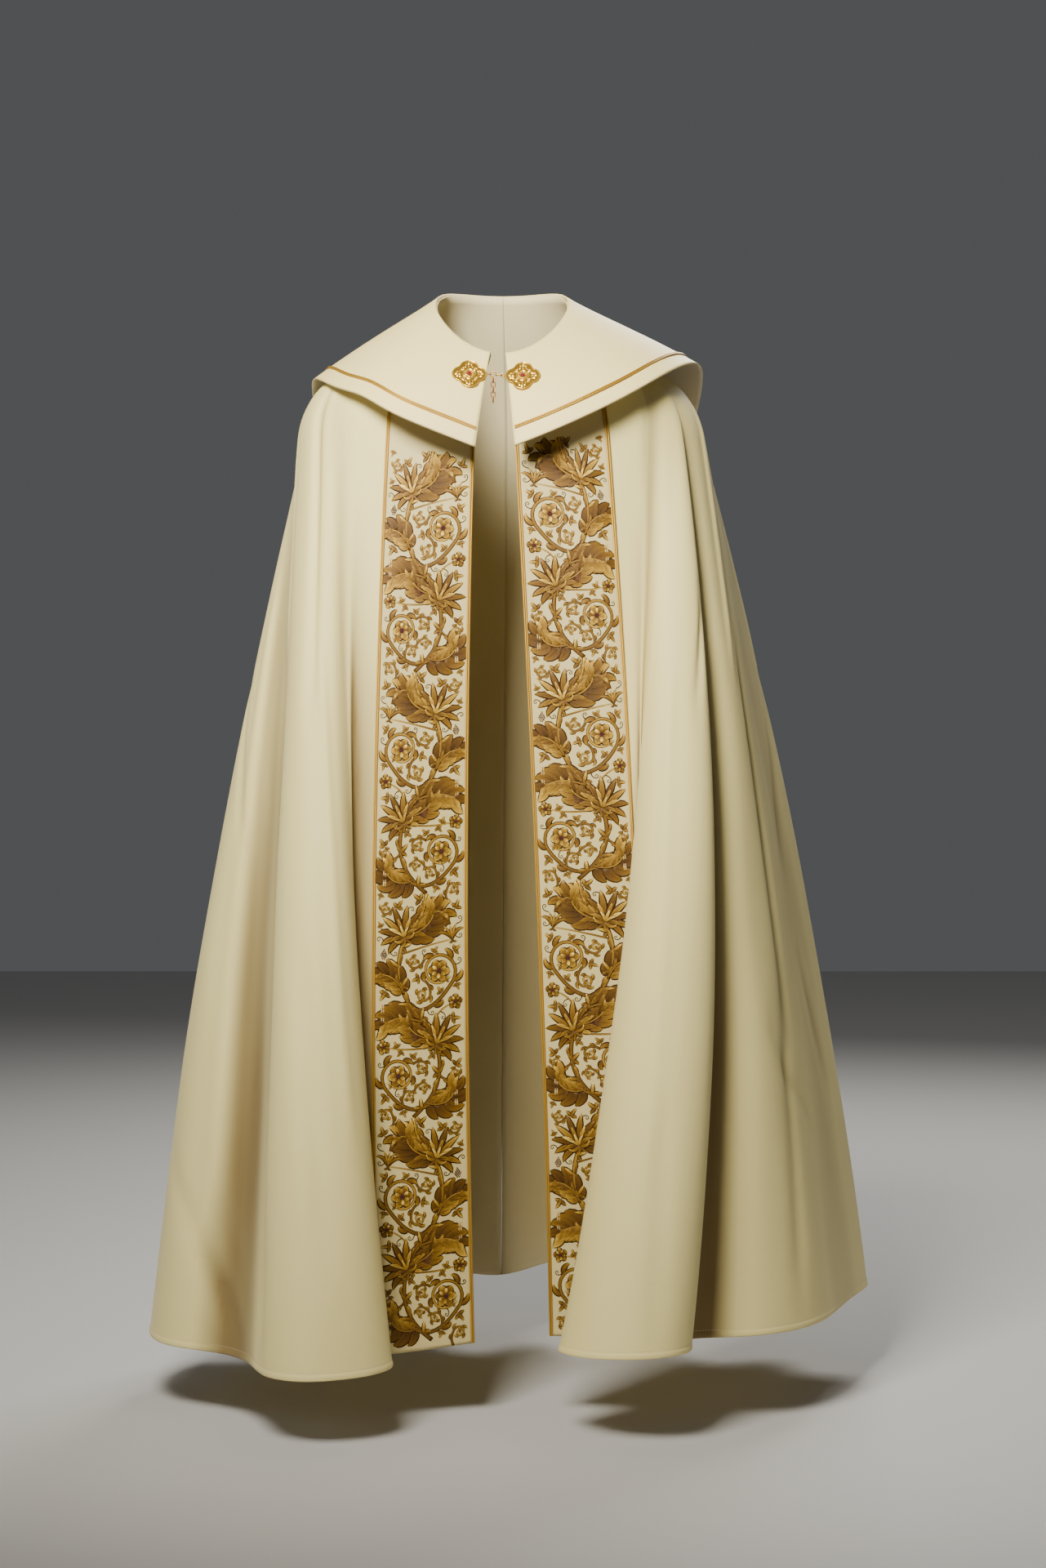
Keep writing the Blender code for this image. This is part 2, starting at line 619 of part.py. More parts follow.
def build_clasp(looks):
    """Two plates, an eye on each, the ring, the hook between them and the hanging chain."""
    gold = looks["gold"]
    right_plate = plate_frame(RIGHT_PLATE_X, PLATE_Z)
    left_plate = plate_frame(LEFT_PLATE_X, PLATE_Z)
    for side, frame in (("right", right_plate), ("left", left_plate)):
        build_plate(f"clasp_plate_{side}", frame, gold)
        build_stone(f"clasp_stone_{side}", frame, looks["stone"])
    tip = PLATE_HALF_WIDTH * plate_outline(0.0)
    start = right_plate[0] + right_plate[1] * tip + right_plate[3] * PLATE_BASE
    end = left_plate[0] - left_plate[1] * tip + left_plate[3] * PLATE_BASE
    along = (end - start).normalized()
    across = (end - start).length
    up = Vector((0.0, 0.0, 1.0))
    front = along.cross(up)
    eye_step = EYE_RADIUS + WIRE + SEAM_GAP
    inside = EYE_RADIUS - 2.0 * WIRE - SEAM_GAP
    ring_at = eye_step + inside + RING_RADIUS
    hook_from = ring_at + RING_RADIUS - 2.0 * WIRE - SEAM_GAP
    hook_to = across - eye_step - inside
    build_loop("clasp_eye_right", start + along * eye_step, along, front, EYE_RADIUS, 0.0, WIRE, gold)
    build_loop("clasp_ring", start + along * ring_at, along, up, RING_RADIUS, 0.0, WIRE, gold)
    hook_middle = start + along * (hook_from + hook_to) / 2.0
    stretch = hook_to - hook_from - 2.0 * EYE_RADIUS
    build_loop("clasp_hook", hook_middle, along, front, EYE_RADIUS, stretch, WIRE, gold)
    build_loop("clasp_eye_left", end - along * eye_step, along, up, EYE_RADIUS, 0.0, WIRE, gold)
    top = start + along * ring_at - up * (RING_RADIUS - WIRE - SEAM_GAP - LINK_WIRE)
    half = LINK_RADIUS + LINK_STRETCH / 2.0
    step = 2.0 * (half - LINK_WIRE) - SEAM_GAP
    for k in range(LINKS):
        side = front if k % 2 == 0 else along
        middle = top - up * (half + k * step)
        build_loop(f"chain_link_{k + 1}", middle, up, side, LINK_RADIUS, LINK_STRETCH, LINK_WIRE, looks["chain"])


def main():
    clear_scene()
    looks = {
        "cloth": material("mantle_cloth", CLOTH_COLOUR, 0.62),
        "satin": material("orphrey_satin", SATIN_COLOUR, 0.42),
        "collar": material("collar_satin", COLLAR_COLOUR, 0.40),
        "lining": material("collar_lining", LINING_COLOUR, 0.45),
        "braid": material("gold_braid", BRAID_COLOUR, 0.40, 0.5),
        "gold": material("clasp_gold", GOLD_COLOUR, 0.25, 1.0),
        "chain": material("chain_gold", CHAIN_COLOUR, 0.30, 1.0),
        "stone": material("clasp_garnet", STONE_COLOUR, 0.08),
    }
    build_mantle(looks)
    build_collar(looks)
    build_clasp(looks)


main()
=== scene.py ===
"""Looks of a cope: a long ceremonial cloak with embroidered bands, collar and clasp.

Metres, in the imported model's own frame: +Z up, the front towards -Y. "Right" and "left"
are the wearer's own sides. The cloth's surface is the one that the solids have, made finer
and with the small creases of the cloth.
"""

import math
from collections import namedtuple

import bpy
import numpy as np
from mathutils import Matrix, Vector


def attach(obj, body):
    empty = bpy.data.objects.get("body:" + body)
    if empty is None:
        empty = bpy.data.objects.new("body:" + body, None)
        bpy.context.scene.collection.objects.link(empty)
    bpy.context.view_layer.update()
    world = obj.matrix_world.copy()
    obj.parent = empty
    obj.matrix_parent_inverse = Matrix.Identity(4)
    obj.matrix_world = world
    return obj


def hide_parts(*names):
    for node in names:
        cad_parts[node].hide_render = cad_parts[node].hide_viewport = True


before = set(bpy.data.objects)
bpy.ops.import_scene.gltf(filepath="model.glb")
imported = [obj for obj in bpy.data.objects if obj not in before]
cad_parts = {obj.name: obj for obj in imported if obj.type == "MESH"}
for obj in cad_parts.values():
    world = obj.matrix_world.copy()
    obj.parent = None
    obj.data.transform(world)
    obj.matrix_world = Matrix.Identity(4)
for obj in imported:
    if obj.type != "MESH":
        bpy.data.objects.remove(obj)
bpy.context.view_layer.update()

# Sizes of the cope
MANTLE_CLOTH = 0.0016
ORPHREY_CLOTH = 0.0009
COLLAR_CLOTH = 0.0016
LINING_CLOTH = 0.0009
SEAM_GAP = 0.0003
ORPHREY_WIDTH = 0.134
BRAID_WIDTH = 0.005
COLLAR_BRAID_INSET = 0.022

CHEST_Z = -0.160
HEM_Z = -1.340
HEM_SLOPE = 0.015
HEM_SLOPE_REACH = 0.15
CHEST_SHARE = 0.20
NECK_HALF_WIDTH = 0.088
NECK_FRONT = 0.112
NECK_BACK = 0.085
NECK_MEAN_Z = -0.0045
NECK_TILT_Z = 0.0535
NECK_SIDE_RISE = 0.0285
NECK_CROWDING_DEG = 24.0
CHEST_HALF_WIDTH = 0.272
CHEST_FRONT = 0.173
CHEST_BACK = 0.165
CHEST_CENTRE_Y = 0.015
CHEST_SQUARENESS = 2.4
FOLD_AT_CHEST = 0.07
DEPTH_BOW = 0.40
HEM_MEAN_RADIUS = 0.40
FRONT_SLOPE_DEG = 72.0
SIDE_SLOPE_DEG = 41.0
BACK_SLOPE_DEG = 68.0
SLOPE_REACH = 0.50

# One row for each ridge or valley from the chest to the hem, from the right front edge
# round the back to the left front edge: its place on the chest ring, where it meets the
# hem, how early it swings sideways, and how far it stands to the left halfway down.
FoldLine = namedtuple("FoldLine", "name chest_deg hem_x hem_y bow sway")
FOLD_LINES = [
    FoldLine("right_front_edge", 5.0, -0.035, -0.155, 0.45, -0.009),
    FoldLine("right_orphrey_middle", 18.0, -0.100, -0.178, 0.45, -0.009),
    FoldLine("right_orphrey_edge", 31.5, -0.166, -0.198, 0.45, -0.009),
    FoldLine("right_roll_floor", 39.5, -0.194, -0.214, -0.10, -0.004),
    FoldLine("right_roll_underside", 45.0, -0.172, -0.243, -0.50, -0.002),
    FoldLine("right_roll_lip", 50.0, -0.139, -0.262, -0.60, -0.002),
    FoldLine("right_roll_front", 54.5, -0.146, -0.308, -0.50, 0.0),
    FoldLine("right_roll_dip", 61.0, -0.190, -0.346, -0.20, 0.0),
    FoldLine("right_roll_crest", 69.0, -0.243, -0.356, 0.05, 0.0),
    FoldLine("right_roll_heel", 79.0, -0.288, -0.326, 0.10, 0.0),
    FoldLine("right_main_valley", 87.0, -0.316, -0.245, 0.05, 0.0),
    FoldLine("right_side_slope", 93.0, -0.366, -0.166, 0.20, -0.003),
    FoldLine("right_side_ridge", 99.0, -0.430, -0.118, 0.30, -0.004),
    FoldLine("right_outline", 106.0, -0.474, -0.010, 0.35, -0.004),
    FoldLine("right_side_back", 113.0, -0.456, 0.092, 0.35, 0.0),
    FoldLine("right_back_valley", 121.5, -0.396, 0.172, 0.30, 0.0),
    FoldLine("right_back_ridge", 131.0, -0.402, 0.280, 0.30, 0.0),
    FoldLine("back_valley_1", 141.0, -0.316, 0.292, 0.20, 0.0),
    FoldLine("back_ridge_1", 150.5, -0.258, 0.398, 0.25, 0.0),
    FoldLine("back_valley_2", 160.5, -0.166, 0.346, 0.20, 0.0),
    FoldLine("back_ridge_2", 170.5, -0.090, 0.438, 0.25, 0.0),
    FoldLine("centre_back", 180.5, -0.004, 0.362, 0.20, 0.0),
    FoldLine("back_ridge_3", 190.5, 0.084, 0.444, 0.25, 0.0),
    FoldLine("back_valley_3", 200.5, 0.164, 0.350, 0.20, 0.0),
    FoldLine("back_ridge_4", 210.5, 0.256, 0.412, 0.25, 0.0),
    FoldLine("back_valley_4", 220.5, 0.322, 0.306, 0.20, 0.0),
    FoldLine("left_back_ridge", 231.0, 0.420, 0.330, 0.25, 0.0),
    FoldLine("left_back_valley", 241.0, 0.446, 0.238, 0.30, 0.0),
    FoldLine("left_side_back", 250.0, 0.500, 0.218, 0.35, 0.0),
    FoldLine("left_outline", 259.0, 0.488, 0.100, 0.38, 0.0),
    FoldLine("left_side_ridge", 267.0, 0.450, -0.022, 0.30, 0.0),
    FoldLine("left_side_valley", 275.0, 0.408, -0.126, 0.20, 0.006),
    FoldLine("left_side_slope", 283.0, 0.352, -0.190, 0.20, 0.014),
    FoldLine("left_side_crest", 291.0, 0.296, -0.212, 0.25, 0.022),
    FoldLine("left_main_valley", 298.0, 0.238, -0.226, 0.10, 0.026),
    FoldLine("left_roll_heel", 300.5, 0.238, -0.300, 0.05, 0.034),
    FoldLine("left_roll_crest", 303.5, 0.186, -0.350, -0.10, 0.026),
    FoldLine("left_roll_dip", 306.5, 0.132, -0.342, -0.35, 0.012),
    FoldLine("left_roll_front", 310.0, 0.088, -0.303, -0.70, 0.002),
    FoldLine("left_roll_lip", 313.0, 0.075, -0.252, -0.80, 0.0),
    FoldLine("left_roll_underside", 316.0, 0.125, -0.232, -0.71, 0.0),
    FoldLine("left_roll_turn", 319.3, 0.190, -0.226, 0.00, -0.0085),
    FoldLine("left_roll_floor", 323.8, 0.214, -0.207, 0.00, -0.0115),
    FoldLine("left_orphrey_edge", 332.0, 0.192, -0.197, 0.45, 0.0015),
    FoldLine("left_orphrey_middle", 345.3, 0.128, -0.180, 0.45, 0.001),
    FoldLine("left_front_edge", 358.0, 0.063, -0.158, 0.45, 0.0),
]
LINE_NAMES = [line.name for line in FOLD_LINES]

# Soft creases of the mantle. at and to are places among the fold lines, counted from 0, at
# the crease's upper and lower end; top and bottom are shares of the way from neck to hem;
# width is half of its width and height is above 0 for a ridge, in metres.
Crease = namedtuple("Crease", "name at to top bottom width height")
CREASES = [
    Crease("right_roll_highlight", 7.0, 6.55, 0.40, 0.80, 0.012, 0.0035),
    Crease("right_chest_hollow", 6.9, 7.7, 0.16, 0.44, 0.016, -0.0060),
    Crease("right_roll_hollow", 8.0, 7.4, 0.66, 0.90, 0.018, -0.0050),
    Crease("right_valley_line", 10.0, 9.4, 0.40, 0.98, 0.014, -0.0045),
    Crease("right_light_ridge", 11.7, 11.4, 0.34, 0.86, 0.022, 0.0040),
    Crease("right_slant", 12.6, 10.6, 0.84, 0.98, 0.024, -0.0028),
    Crease("right_shoulder_ridge", 9.6, 9.9, 0.18, 0.40, 0.014, 0.0035),
    Crease("right_side_line", 13.2, 13.8, 0.30, 0.72, 0.018, -0.0035),
    Crease("right_arm_bend", 12.9, 11.6, 0.40, 0.56, 0.016, -0.0035),
    Crease("back_right_line", 16.2, 15.5, 0.40, 0.92, 0.020, 0.0040),
    Crease("back_slant_1", 17.6, 18.6, 0.30, 0.56, 0.018, -0.0035),
    Crease("back_slant_2", 19.6, 18.9, 0.62, 0.92, 0.020, 0.0035),
    Crease("back_slant_3", 20.6, 20.1, 0.44, 0.80, 0.016, -0.0030),
    Crease("back_slant_4", 22.4, 22.9, 0.38, 0.76, 0.018, -0.0030),
    Crease("back_slant_5", 24.4, 23.5, 0.56, 0.94, 0.020, 0.0040),
    Crease("back_left_line", 26.4, 26.0, 0.36, 0.86, 0.018, -0.0035),
    Crease("left_arm_bend", 28.4, 29.6, 0.40, 0.58, 0.026, -0.0028),
    Crease("left_side_hollow", 31.2, 30.9, 0.40, 0.74, 0.016, -0.0055),
    Crease("left_side_hollow_low", 31.1, 31.3, 0.72, 0.96, 0.016, -0.0045),
    Crease("left_pinch_low", 31.6, 30.4, 0.74, 0.82, 0.018, -0.0030),
    Crease("left_pinch_high", 29.6, 29.0, 0.68, 0.80, 0.018, -0.0026),
    Crease("left_shoulder_ridge", 31.8, 31.9, 0.17, 0.40, 0.014, 0.0035),
    Crease("left_fold_shadow", 34.2, 34.3, 0.20, 0.98, 0.008, -0.0030),
    Crease("left_roll_dent", 35.2, 35.7, 0.36, 0.44, 0.012, -0.0045),
    Crease("left_roll_hollow", 36.3, 36.0, 0.80, 0.98, 0.014, -0.0040),
    Crease("left_roll_light", 36.9, 36.6, 0.42, 0.84, 0.012, 0.0030),
]
CREASE_FADE = 0.09

CollarLine = namedtuple("CollarLine", "name neck_deg x y z")
COLLAR_LINES = [
    CollarLine("right_front_corner", 9.5, -0.034, -0.184, -0.188),
    CollarLine("right_chest", 26.0, -0.092, -0.184, -0.165),
    CollarLine("right_chest_side", 43.0, -0.145, -0.170, -0.140),
    CollarLine("right_shoulder_front", 59.0, -0.184, -0.138, -0.115),
    CollarLine("right_shoulder_slope", 75.0, -0.222, -0.082, -0.097),
    CollarLine("right_shoulder_tip", 91.0, -0.252, 0.008, -0.077),
    CollarLine("right_shoulder_back", 107.0, -0.258, 0.094, -0.100),
    CollarLine("right_blade", 124.0, -0.240, 0.168, -0.168),
    CollarLine("right_hood", 142.0, -0.176, 0.225, -0.262),
    CollarLine("right_hood_side", 161.0, -0.082, 0.253, -0.330),
    CollarLine("hood_point", 180.0, 0.0, 0.260, -0.352),
    CollarLine("left_hood_side", 199.0, 0.084, 0.253, -0.330),
    CollarLine("left_hood", 218.0, 0.182, 0.225, -0.262),
    CollarLine("left_blade", 236.0, 0.250, 0.168, -0.164),
    CollarLine("left_shoulder_back", 253.0, 0.272, 0.094, -0.084),
    CollarLine("left_shoulder_tip", 269.0, 0.264, 0.008, -0.057),
    CollarLine("left_shoulder_slope", 284.0, 0.232, -0.074, -0.072),
    CollarLine("left_shoulder_front", 300.0, 0.190, -0.134, -0.101),
    CollarLine("left_chest_side", 317.0, 0.140, -0.168, -0.131),
    CollarLine("left_chest", 335.0, 0.080, -0.184, -0.161),
    CollarLine("left_front_corner", 356.7, 0.018, -0.184, -0.186),
]
COLLAR_FRONT_BULGE = 0.035
COLLAR_SIDE_BULGE = 0.006
COLLAR_BACK_BULGE = 0.060
COLLAR_STAND = 0.003
COLLAR_NECK_GAP = 0.0007

# Clasp
PLATE_HALF_WIDTH = 0.0235
PLATE_HALF_HEIGHT = 0.0245
PLATE_BASE = 0.0014
PLATE_Z = -0.089
RIGHT_PLATE_X = -0.0415
LEFT_PLATE_X = 0.0275
WIRE = 0.0006
EYE_RADIUS = 0.0021
RING_RADIUS = 0.0042
LINK_RADIUS = 0.0026
LINK_STRETCH = 0.0030
LINK_WIRE = 0.0007
LINKS = 5
BEADS = 20
BEAD_RING = 0.261
# the plate's round ridges: height, share of the way to the rim, width
PLATE_RINGS = ((0.0012, 0.945, 0.035), (0.0020, 0.235, 0.045), (0.0008, 0.36, 0.030))
# the leaves of each fan: turn from the fan's middle, reach, size, share of the full height
PLATE_LEAVES = (
    (0.0, 0.74, 0.080, 1.0), (0.22, 0.70, 0.062, 0.8), (-0.22, 0.70, 0.062, 0.8),
    (0.36, 0.58, 0.055, 0.7), (-0.36, 0.58, 0.055, 0.7), (0.0, 0.54, 0.060, 0.6),
)
# the stone's rings of corners: radius, height, share of a step that the ring is turned
STONE_SIDES = 16
STONE_RINGS = ((0.0017, 0.0004, 0.0), (0.0028, 0.0010, 0.0), (0.0024, 0.0020, 0.5), (0.0014, 0.0028, 0.0))

# Hem, and the shade painted into the cloth's folds
HEM_ROLL = 0.0080
HEM_ROLL_HEIGHT = 0.0009
HEM_STITCH = 0.0098
# rows near the hem, by their distance from it; those above are spread evenly
HEM_ROWS = (0.0105, 0.0090, 0.0080, 0.0072, 0.0058, 0.0040, 0.0022, 0.0008, 0.0)
MANTLE_LENGTH = 1.33
RIPPLE_HEIGHT = 0.0006
# painted fold shade: columns to each side, the depth that counts, its weight
FOLD_SHADE_WINDOWS = ((4, 0.0048, 0.32), (10, 0.0200, 0.50))

# Bands and braids
BAND_TOP_SHARE = 0.10
ORPHREY_FACE = SEAM_GAP + ORPHREY_CLOTH
COLLAR_FACE = LINING_CLOTH + SEAM_GAP + COLLAR_CLOTH
COLLAR_RUN = 1.45
BRAID_CORD = 0.00122
BRAID_STEP = 0.0035
CORD_SHARES = (0.25, 0.75)

# Embroidery
OUTLINE = 0.00195
RELIEF_OF_WIDTH = 0.22
RELIEF_MOST = 0.00085
VEIN_HALF = (0.00042, 0.00042, 0.00038, 0.00030, 0.00016)
TENDRIL_WIDTH = 0.0017
REPEAT = 0.2875
REPEATS = 4
EMBROIDERY_FOOT = 0.012
EMBROIDERY_TOP = 1.152
FILL_EDGE = 0.0600
FILL_STEP = 0.0025
CURL_ROOM = 0.0098
CURL_MOST = 0.0200
LEAF_ROOM = 0.0050
TENDRIL_ROOM = 0.0043
UPWARDS = np.array([0.0, 1.0])
STALK = [
    (-0.010, 0.0), (0.018, 0.030), (0.027, 0.070), (0.012, 0.112), (-0.014, 0.146),
    (-0.028, 0.186), (-0.018, 0.232), (0.004, 0.262), (0.010, REPEAT),
]

# How finely the cloth is drawn
MANTLE_STEP = 0.0095
MANTLE_ROWS = 152
BAND_COLUMNS = 20
BAND_ROWS = 280
COLLAR_COLUMNS = 220
COLLAR_ROWS = 44

# Floor and camera
FLOOR_Z = -1.44
SENSOR_HEIGHT = 36.0
PHOTO_FOCAL_PIXELS = 3636.0
PHOTO_HEIGHT_PIXELS = 1920.0


# The cloth's surface
def ridge(value, middle, width):
    """1 on a line, falling away beside it over about its width."""
    return np.exp(-(((value - middle) / width) ** 2))


def smooth_through(knots, values, at):
    """A curve with no jumps in its bend that passes through values at knots, read at at."""
    count = len(knots)
    step = np.diff(knots)
    left, right = np.eye(count), np.zeros_like(values)
    for i in range(1, count - 1):
        left[i, i - 1] = step[i - 1]
        left[i, i] = 2.0 * (step[i - 1] + step[i])
        left[i, i + 1] = step[i]
        rise_after = (values[i + 1] - values[i]) / step[i]
        rise_before = (values[i] - values[i - 1]) / step[i - 1]
        right[i] = 6.0 * (rise_after - rise_before)
    bend = np.linalg.solve(left, right.reshape(count, -1)).reshape(values.shape)
    i = np.clip(np.searchsorted(knots, at, side="right") - 1, 0, count - 2)
    wide = (-1,) + (1,) * (values.ndim - 1)
    h = step[i].reshape(wide)
    b = ((at - knots[i]) / step[i]).reshape(wide)
    a = 1.0 - b
    curved = (a**3 - a) * bend[i] + (b**3 - b) * bend[i + 1]
    return a * values[i] + b * values[i + 1] + curved * h**2 / 6.0


def ring_point(degrees, half_width, front, back, squareness=2.0):
    """Points on an oval ring, 0 in front, 90 at the wearer's right."""
    turn = np.radians(degrees)
    sine, cosine = np.sin(turn), np.cos(turn)
    power = 2.0 / squareness
    x = -half_width * np.sign(sine) * np.abs(sine) ** power
    y = -np.where(cosine > 0, front, back) * np.sign(cosine) * np.abs(cosine) ** power
    return x, y


def neck_ring(degrees):
    x, y = ring_point(degrees, NECK_HALF_WIDTH, NECK_FRONT, NECK_BACK)
    turn = np.radians(degrees)
    z = NECK_MEAN_Z - NECK_TILT_Z * np.cos(turn) + NECK_SIDE_RISE * np.sin(turn) ** 2
    return np.stack([x, y, z], axis=-1)


def by_direction(degrees, front, side, back):
    """A value that is front at 0 degrees, side at 90 and 270, and back at 180."""
    cosine = np.cos(np.radians(degrees))
    return side + np.where(cosine > 0, front - side, back - side) * cosine**2


def bezier(start, after_start, before_end, end, s):
    r = 1.0 - s
    return r**3 * start + 3 * r**2 * s * after_start + 3 * r * s**2 * before_end + s**3 * end


def fold_columns():
    """The fold table's columns as arrays."""
    chest_deg = np.array([line.chest_deg for line in FOLD_LINES])
    hem = np.array([(line.hem_x, line.hem_y) for line in FOLD_LINES])
    bow = np.array([line.bow for line in FOLD_LINES])
    sway = np.array([line.sway for line in FOLD_LINES])
    return chest_deg, hem, bow, sway


def fold_places():
    """How far each fold line is along the hem, measured straight from line to line."""
    _, hem, _, _ = fold_columns()
    return np.concatenate([[0.0], np.cumsum(np.linalg.norm(np.diff(hem, axis=0), axis=1))])


def fold_line_points(share):
    """Every fold line's point at this share of the way from the neck to the hem."""
    chest_deg, hem_xy, bow, sway = fold_columns()
    neck_deg = chest_deg + NECK_CROWDING_DEG * np.sin(np.radians(2.0 * chest_deg))
    neck = neck_ring(neck_deg)
    chest_x, chest_y = ring_point(
        chest_deg, CHEST_HALF_WIDTH, CHEST_FRONT, CHEST_BACK, CHEST_SQUARENESS
    )
    outwards = FOLD_AT_CHEST * (np.linalg.norm(hem_xy, axis=1) - HEM_MEAN_RADIUS)
    turn = np.radians(chest_deg)
    chest_x = chest_x - outwards * np.sin(turn)
    chest_y = chest_y + CHEST_CENTRE_Y - outwards * np.cos(turn)
    chest = np.stack([chest_x, chest_y, np.full_like(chest_x, CHEST_Z)], axis=-1)
    hem_z = HEM_Z + HEM_SLOPE * np.tanh(hem_xy[:, 0] / HEM_SLOPE_REACH)
    hem = np.column_stack([hem_xy, hem_z])
    fall = hem - chest
    swing = np.stack([1.0 + bow, np.full_like(bow, 1.0 + DEPTH_BOW), np.ones_like(bow)], axis=-1)
    if share >= CHEST_SHARE:
        down = (share - CHEST_SHARE) / (1.0 - CHEST_SHARE)
        path = chest + fall * (down + (swing - 1.0) * down * (1.0 - down))
        path[:, 0] += sway * 4.0 * down * (1.0 - down)
        return path
    slope = np.radians(by_direction(neck_deg, FRONT_SLOPE_DEG, SIDE_SLOPE_DEG, BACK_SLOPE_DEG))
    reach = SLOPE_REACH * np.linalg.norm(chest - neck, axis=1)
    flat = chest[:, :2] - neck[:, :2]
    flat = flat / np.linalg.norm(flat, axis=1)[:, None]
    leave = np.column_stack([flat * np.cos(slope)[:, None], -np.sin(slope)]) * reach[:, None]
    fall = fall * swing
    fall[:, 0] += sway * 4.0
    arrive = fall * CHEST_SHARE / (1.0 - CHEST_SHARE) / 3.0
    return bezier(neck, neck + leave, chest - arrive, chest, share / CHEST_SHARE)


def grid_normals(grid):
    """Unit vectors out of the cloth at each point, for columns that run right to left."""
    down = np.gradient(grid, axis=0)
    across = np.gradient(grid, axis=1)
    out = np.cross(across, down)
    return out / np.linalg.norm(out, axis=2)[..., None]


def eased(value):
    """0 below 0, 1 above 1, and smooth between."""
    value = np.clip(value, 0.0, 1.0)
    return value * value * (3.0 - 2.0 * value)


def crease_heights(places, shares):
    """How far the creases lift the cloth at each place and share."""
    knots = fold_places()
    order = np.arange(len(knots))
    place, share = places[None, :], shares[:, None]
    height = np.zeros((len(shares), len(places)))
    for crease in CREASES:
        along = np.clip((share - crease.top) / (crease.bottom - crease.top), 0.0, 1.0)
        middle = np.interp(crease.at + (crease.to - crease.at) * along, order, knots)
        start = eased((share - crease.top) / CREASE_FADE + 0.5)
        stop = eased((crease.bottom - share) / CREASE_FADE + 0.5)
        height += crease.height * ridge(place, middle, crease.width) * start * stop
    return height


def cloth_ripple(places, shares):
    """Slight waves that a heavy cloth keeps, with no pattern that repeats."""
    place, share = places[None, :], shares[:, None]
    wave = np.sin(17.0 * place + 9.0 * share + 1.3 * np.sin(7.0 * share + 3.0 * place))
    wave += 0.7 * np.sin(31.0 * place - 14.0 * share + 2.0 * np.sin(5.0 * share))
    wave += 0.4 * np.sin(22.0 * share + 43.0 * place)
    return RIPPLE_HEIGHT * wave * eased((share - 0.12) / 0.3)


def cope_surface(places, shares):
    """The mantle's outer face with its creases, and its unit normals."""
    knots = fold_places()
    base = np.array([smooth_through(knots, fold_line_points(share), places) for share in shares])
    out = grid_normals(base)
    lift = crease_heights(places, shares) + cloth_ripple(places, shares)
    grid = base + out * lift[..., None]
    return grid, grid_normals(grid)


def place_of(name):
    return fold_places()[LINE_NAMES.index(name)]


# Making meshes
def new_mesh(name, points, edges=(), faces=(), looks=()):
    """A mesh of points, with the edges or the faces between them."""
    mesh = bpy.data.meshes.new(name)
    mesh.from_pydata(np.asarray(points).tolist(), edges, faces)
    for look in looks:
        mesh.materials.append(look)
    return mesh


def put_in_scene(name, data):
    """Adds an object with this name and data."""
    made = bpy.data.objects.new(name, data)
    bpy.context.scene.collection.objects.link(made)
    return made


def add_piece(name, mesh, replaced=(), smooth=True):
    """Puts a mesh in the scene as a piece of the cope."""
    mesh.validate()
    if smooth:
        mesh.shade_smooth()
    piece = put_in_scene(name, mesh)
    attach(piece, "root")
    if replaced:
        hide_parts(*replaced)
    return piece


def set_points(mesh, name, values, kind="FLOAT"):
    """Keeps a number, or a direction, at each point of the mesh under a name."""
    layer = mesh.attributes.new(name, kind, "POINT")
    field = "value" if kind == "FLOAT" else "vector"
    layer.data.foreach_set(field, np.asarray(values, dtype=np.float32).ravel())


def set_uv(mesh, uv_of_point):
    """Gives the mesh its cloth coordinates, in metres, from one pair for each point."""
    corner = np.empty(len(mesh.loops), dtype=np.int32)
    mesh.loops.foreach_get("vertex_index", corner)
    layer = mesh.uv_layers.new(name="cloth")
    layer.data.foreach_set("uv", uv_of_point[corner].astype(np.float32).ravel())


def wall_mesh(name, outer, inner, cloth_uv, looks):
    """A closed shell between two grids of the same size, with its cloth coordinates."""
    rows, columns = outer.shape[:2]
    behind = rows * columns
    index = np.arange(behind).reshape(rows, columns)
    a, b = index[:-1, :-1].ravel(), index[:-1, 1:].ravel()
    c, d = index[1:, 1:].ravel(), index[1:, :-1].ravel()
    front = np.stack([a, b, c, d], axis=1)
    back = np.stack([d, c, b, a], axis=1) + behind
    around = np.concatenate([index[0], index[1:, -1], index[-1, -2::-1], index[-2:0:-1, 0]])
    ahead = np.roll(around, -1)
    rim = np.stack([ahead, around, around + behind, ahead + behind], axis=1)
    faces = np.concatenate([front, back, rim])
    points = np.concatenate([outer.reshape(-1, 3), inner.reshape(-1, 3)])
    mesh = new_mesh(name, points, (), faces.tolist(), looks)
    set_uv(mesh, np.tile(cloth_uv.reshape(-1, 2), (2, 1)))
    if len(looks) > 1:
        which = np.zeros(len(faces), dtype=np.int32)
        which[len(front):len(front) + len(back)] = 1
        mesh.polygons.foreach_set("material_index", which)
    return mesh


def path_mesh(name, paths, closed=False):
    """Lines through points in space, as edges, for the node trees that follow a path."""
    edges, start = [], 0
    for path in paths:
        edges += [(start + i, start + i + 1) for i in range(len(path) - 1)]
        if closed:
            edges.append((start + len(path) - 1, start))
        start += len(path)
    return new_mesh(name, np.concatenate(paths), edges)


# Node trees
def wired(tree, kind, inputs=None, **settings):
    """Adds a node, joins or sets its inputs, and gives back its outputs."""
    node = tree.nodes.new(kind)
    for name, value in settings.items():
        setattr(node, name, value)
    for label, value in (inputs or {}).items():
        if isinstance(value, bpy.types.NodeSocket):
            tree.links.new(value, node.inputs[label])
        else:
            node.inputs[label].default_value = value
    return node.outputs


def math_node(tree, operation, first, second=0.0):
    """A math node whose two inputs are sockets or plain numbers."""
    return wired(tree, "ShaderNodeMath", {0: first, 1: second}, operation=operation)["Value"]


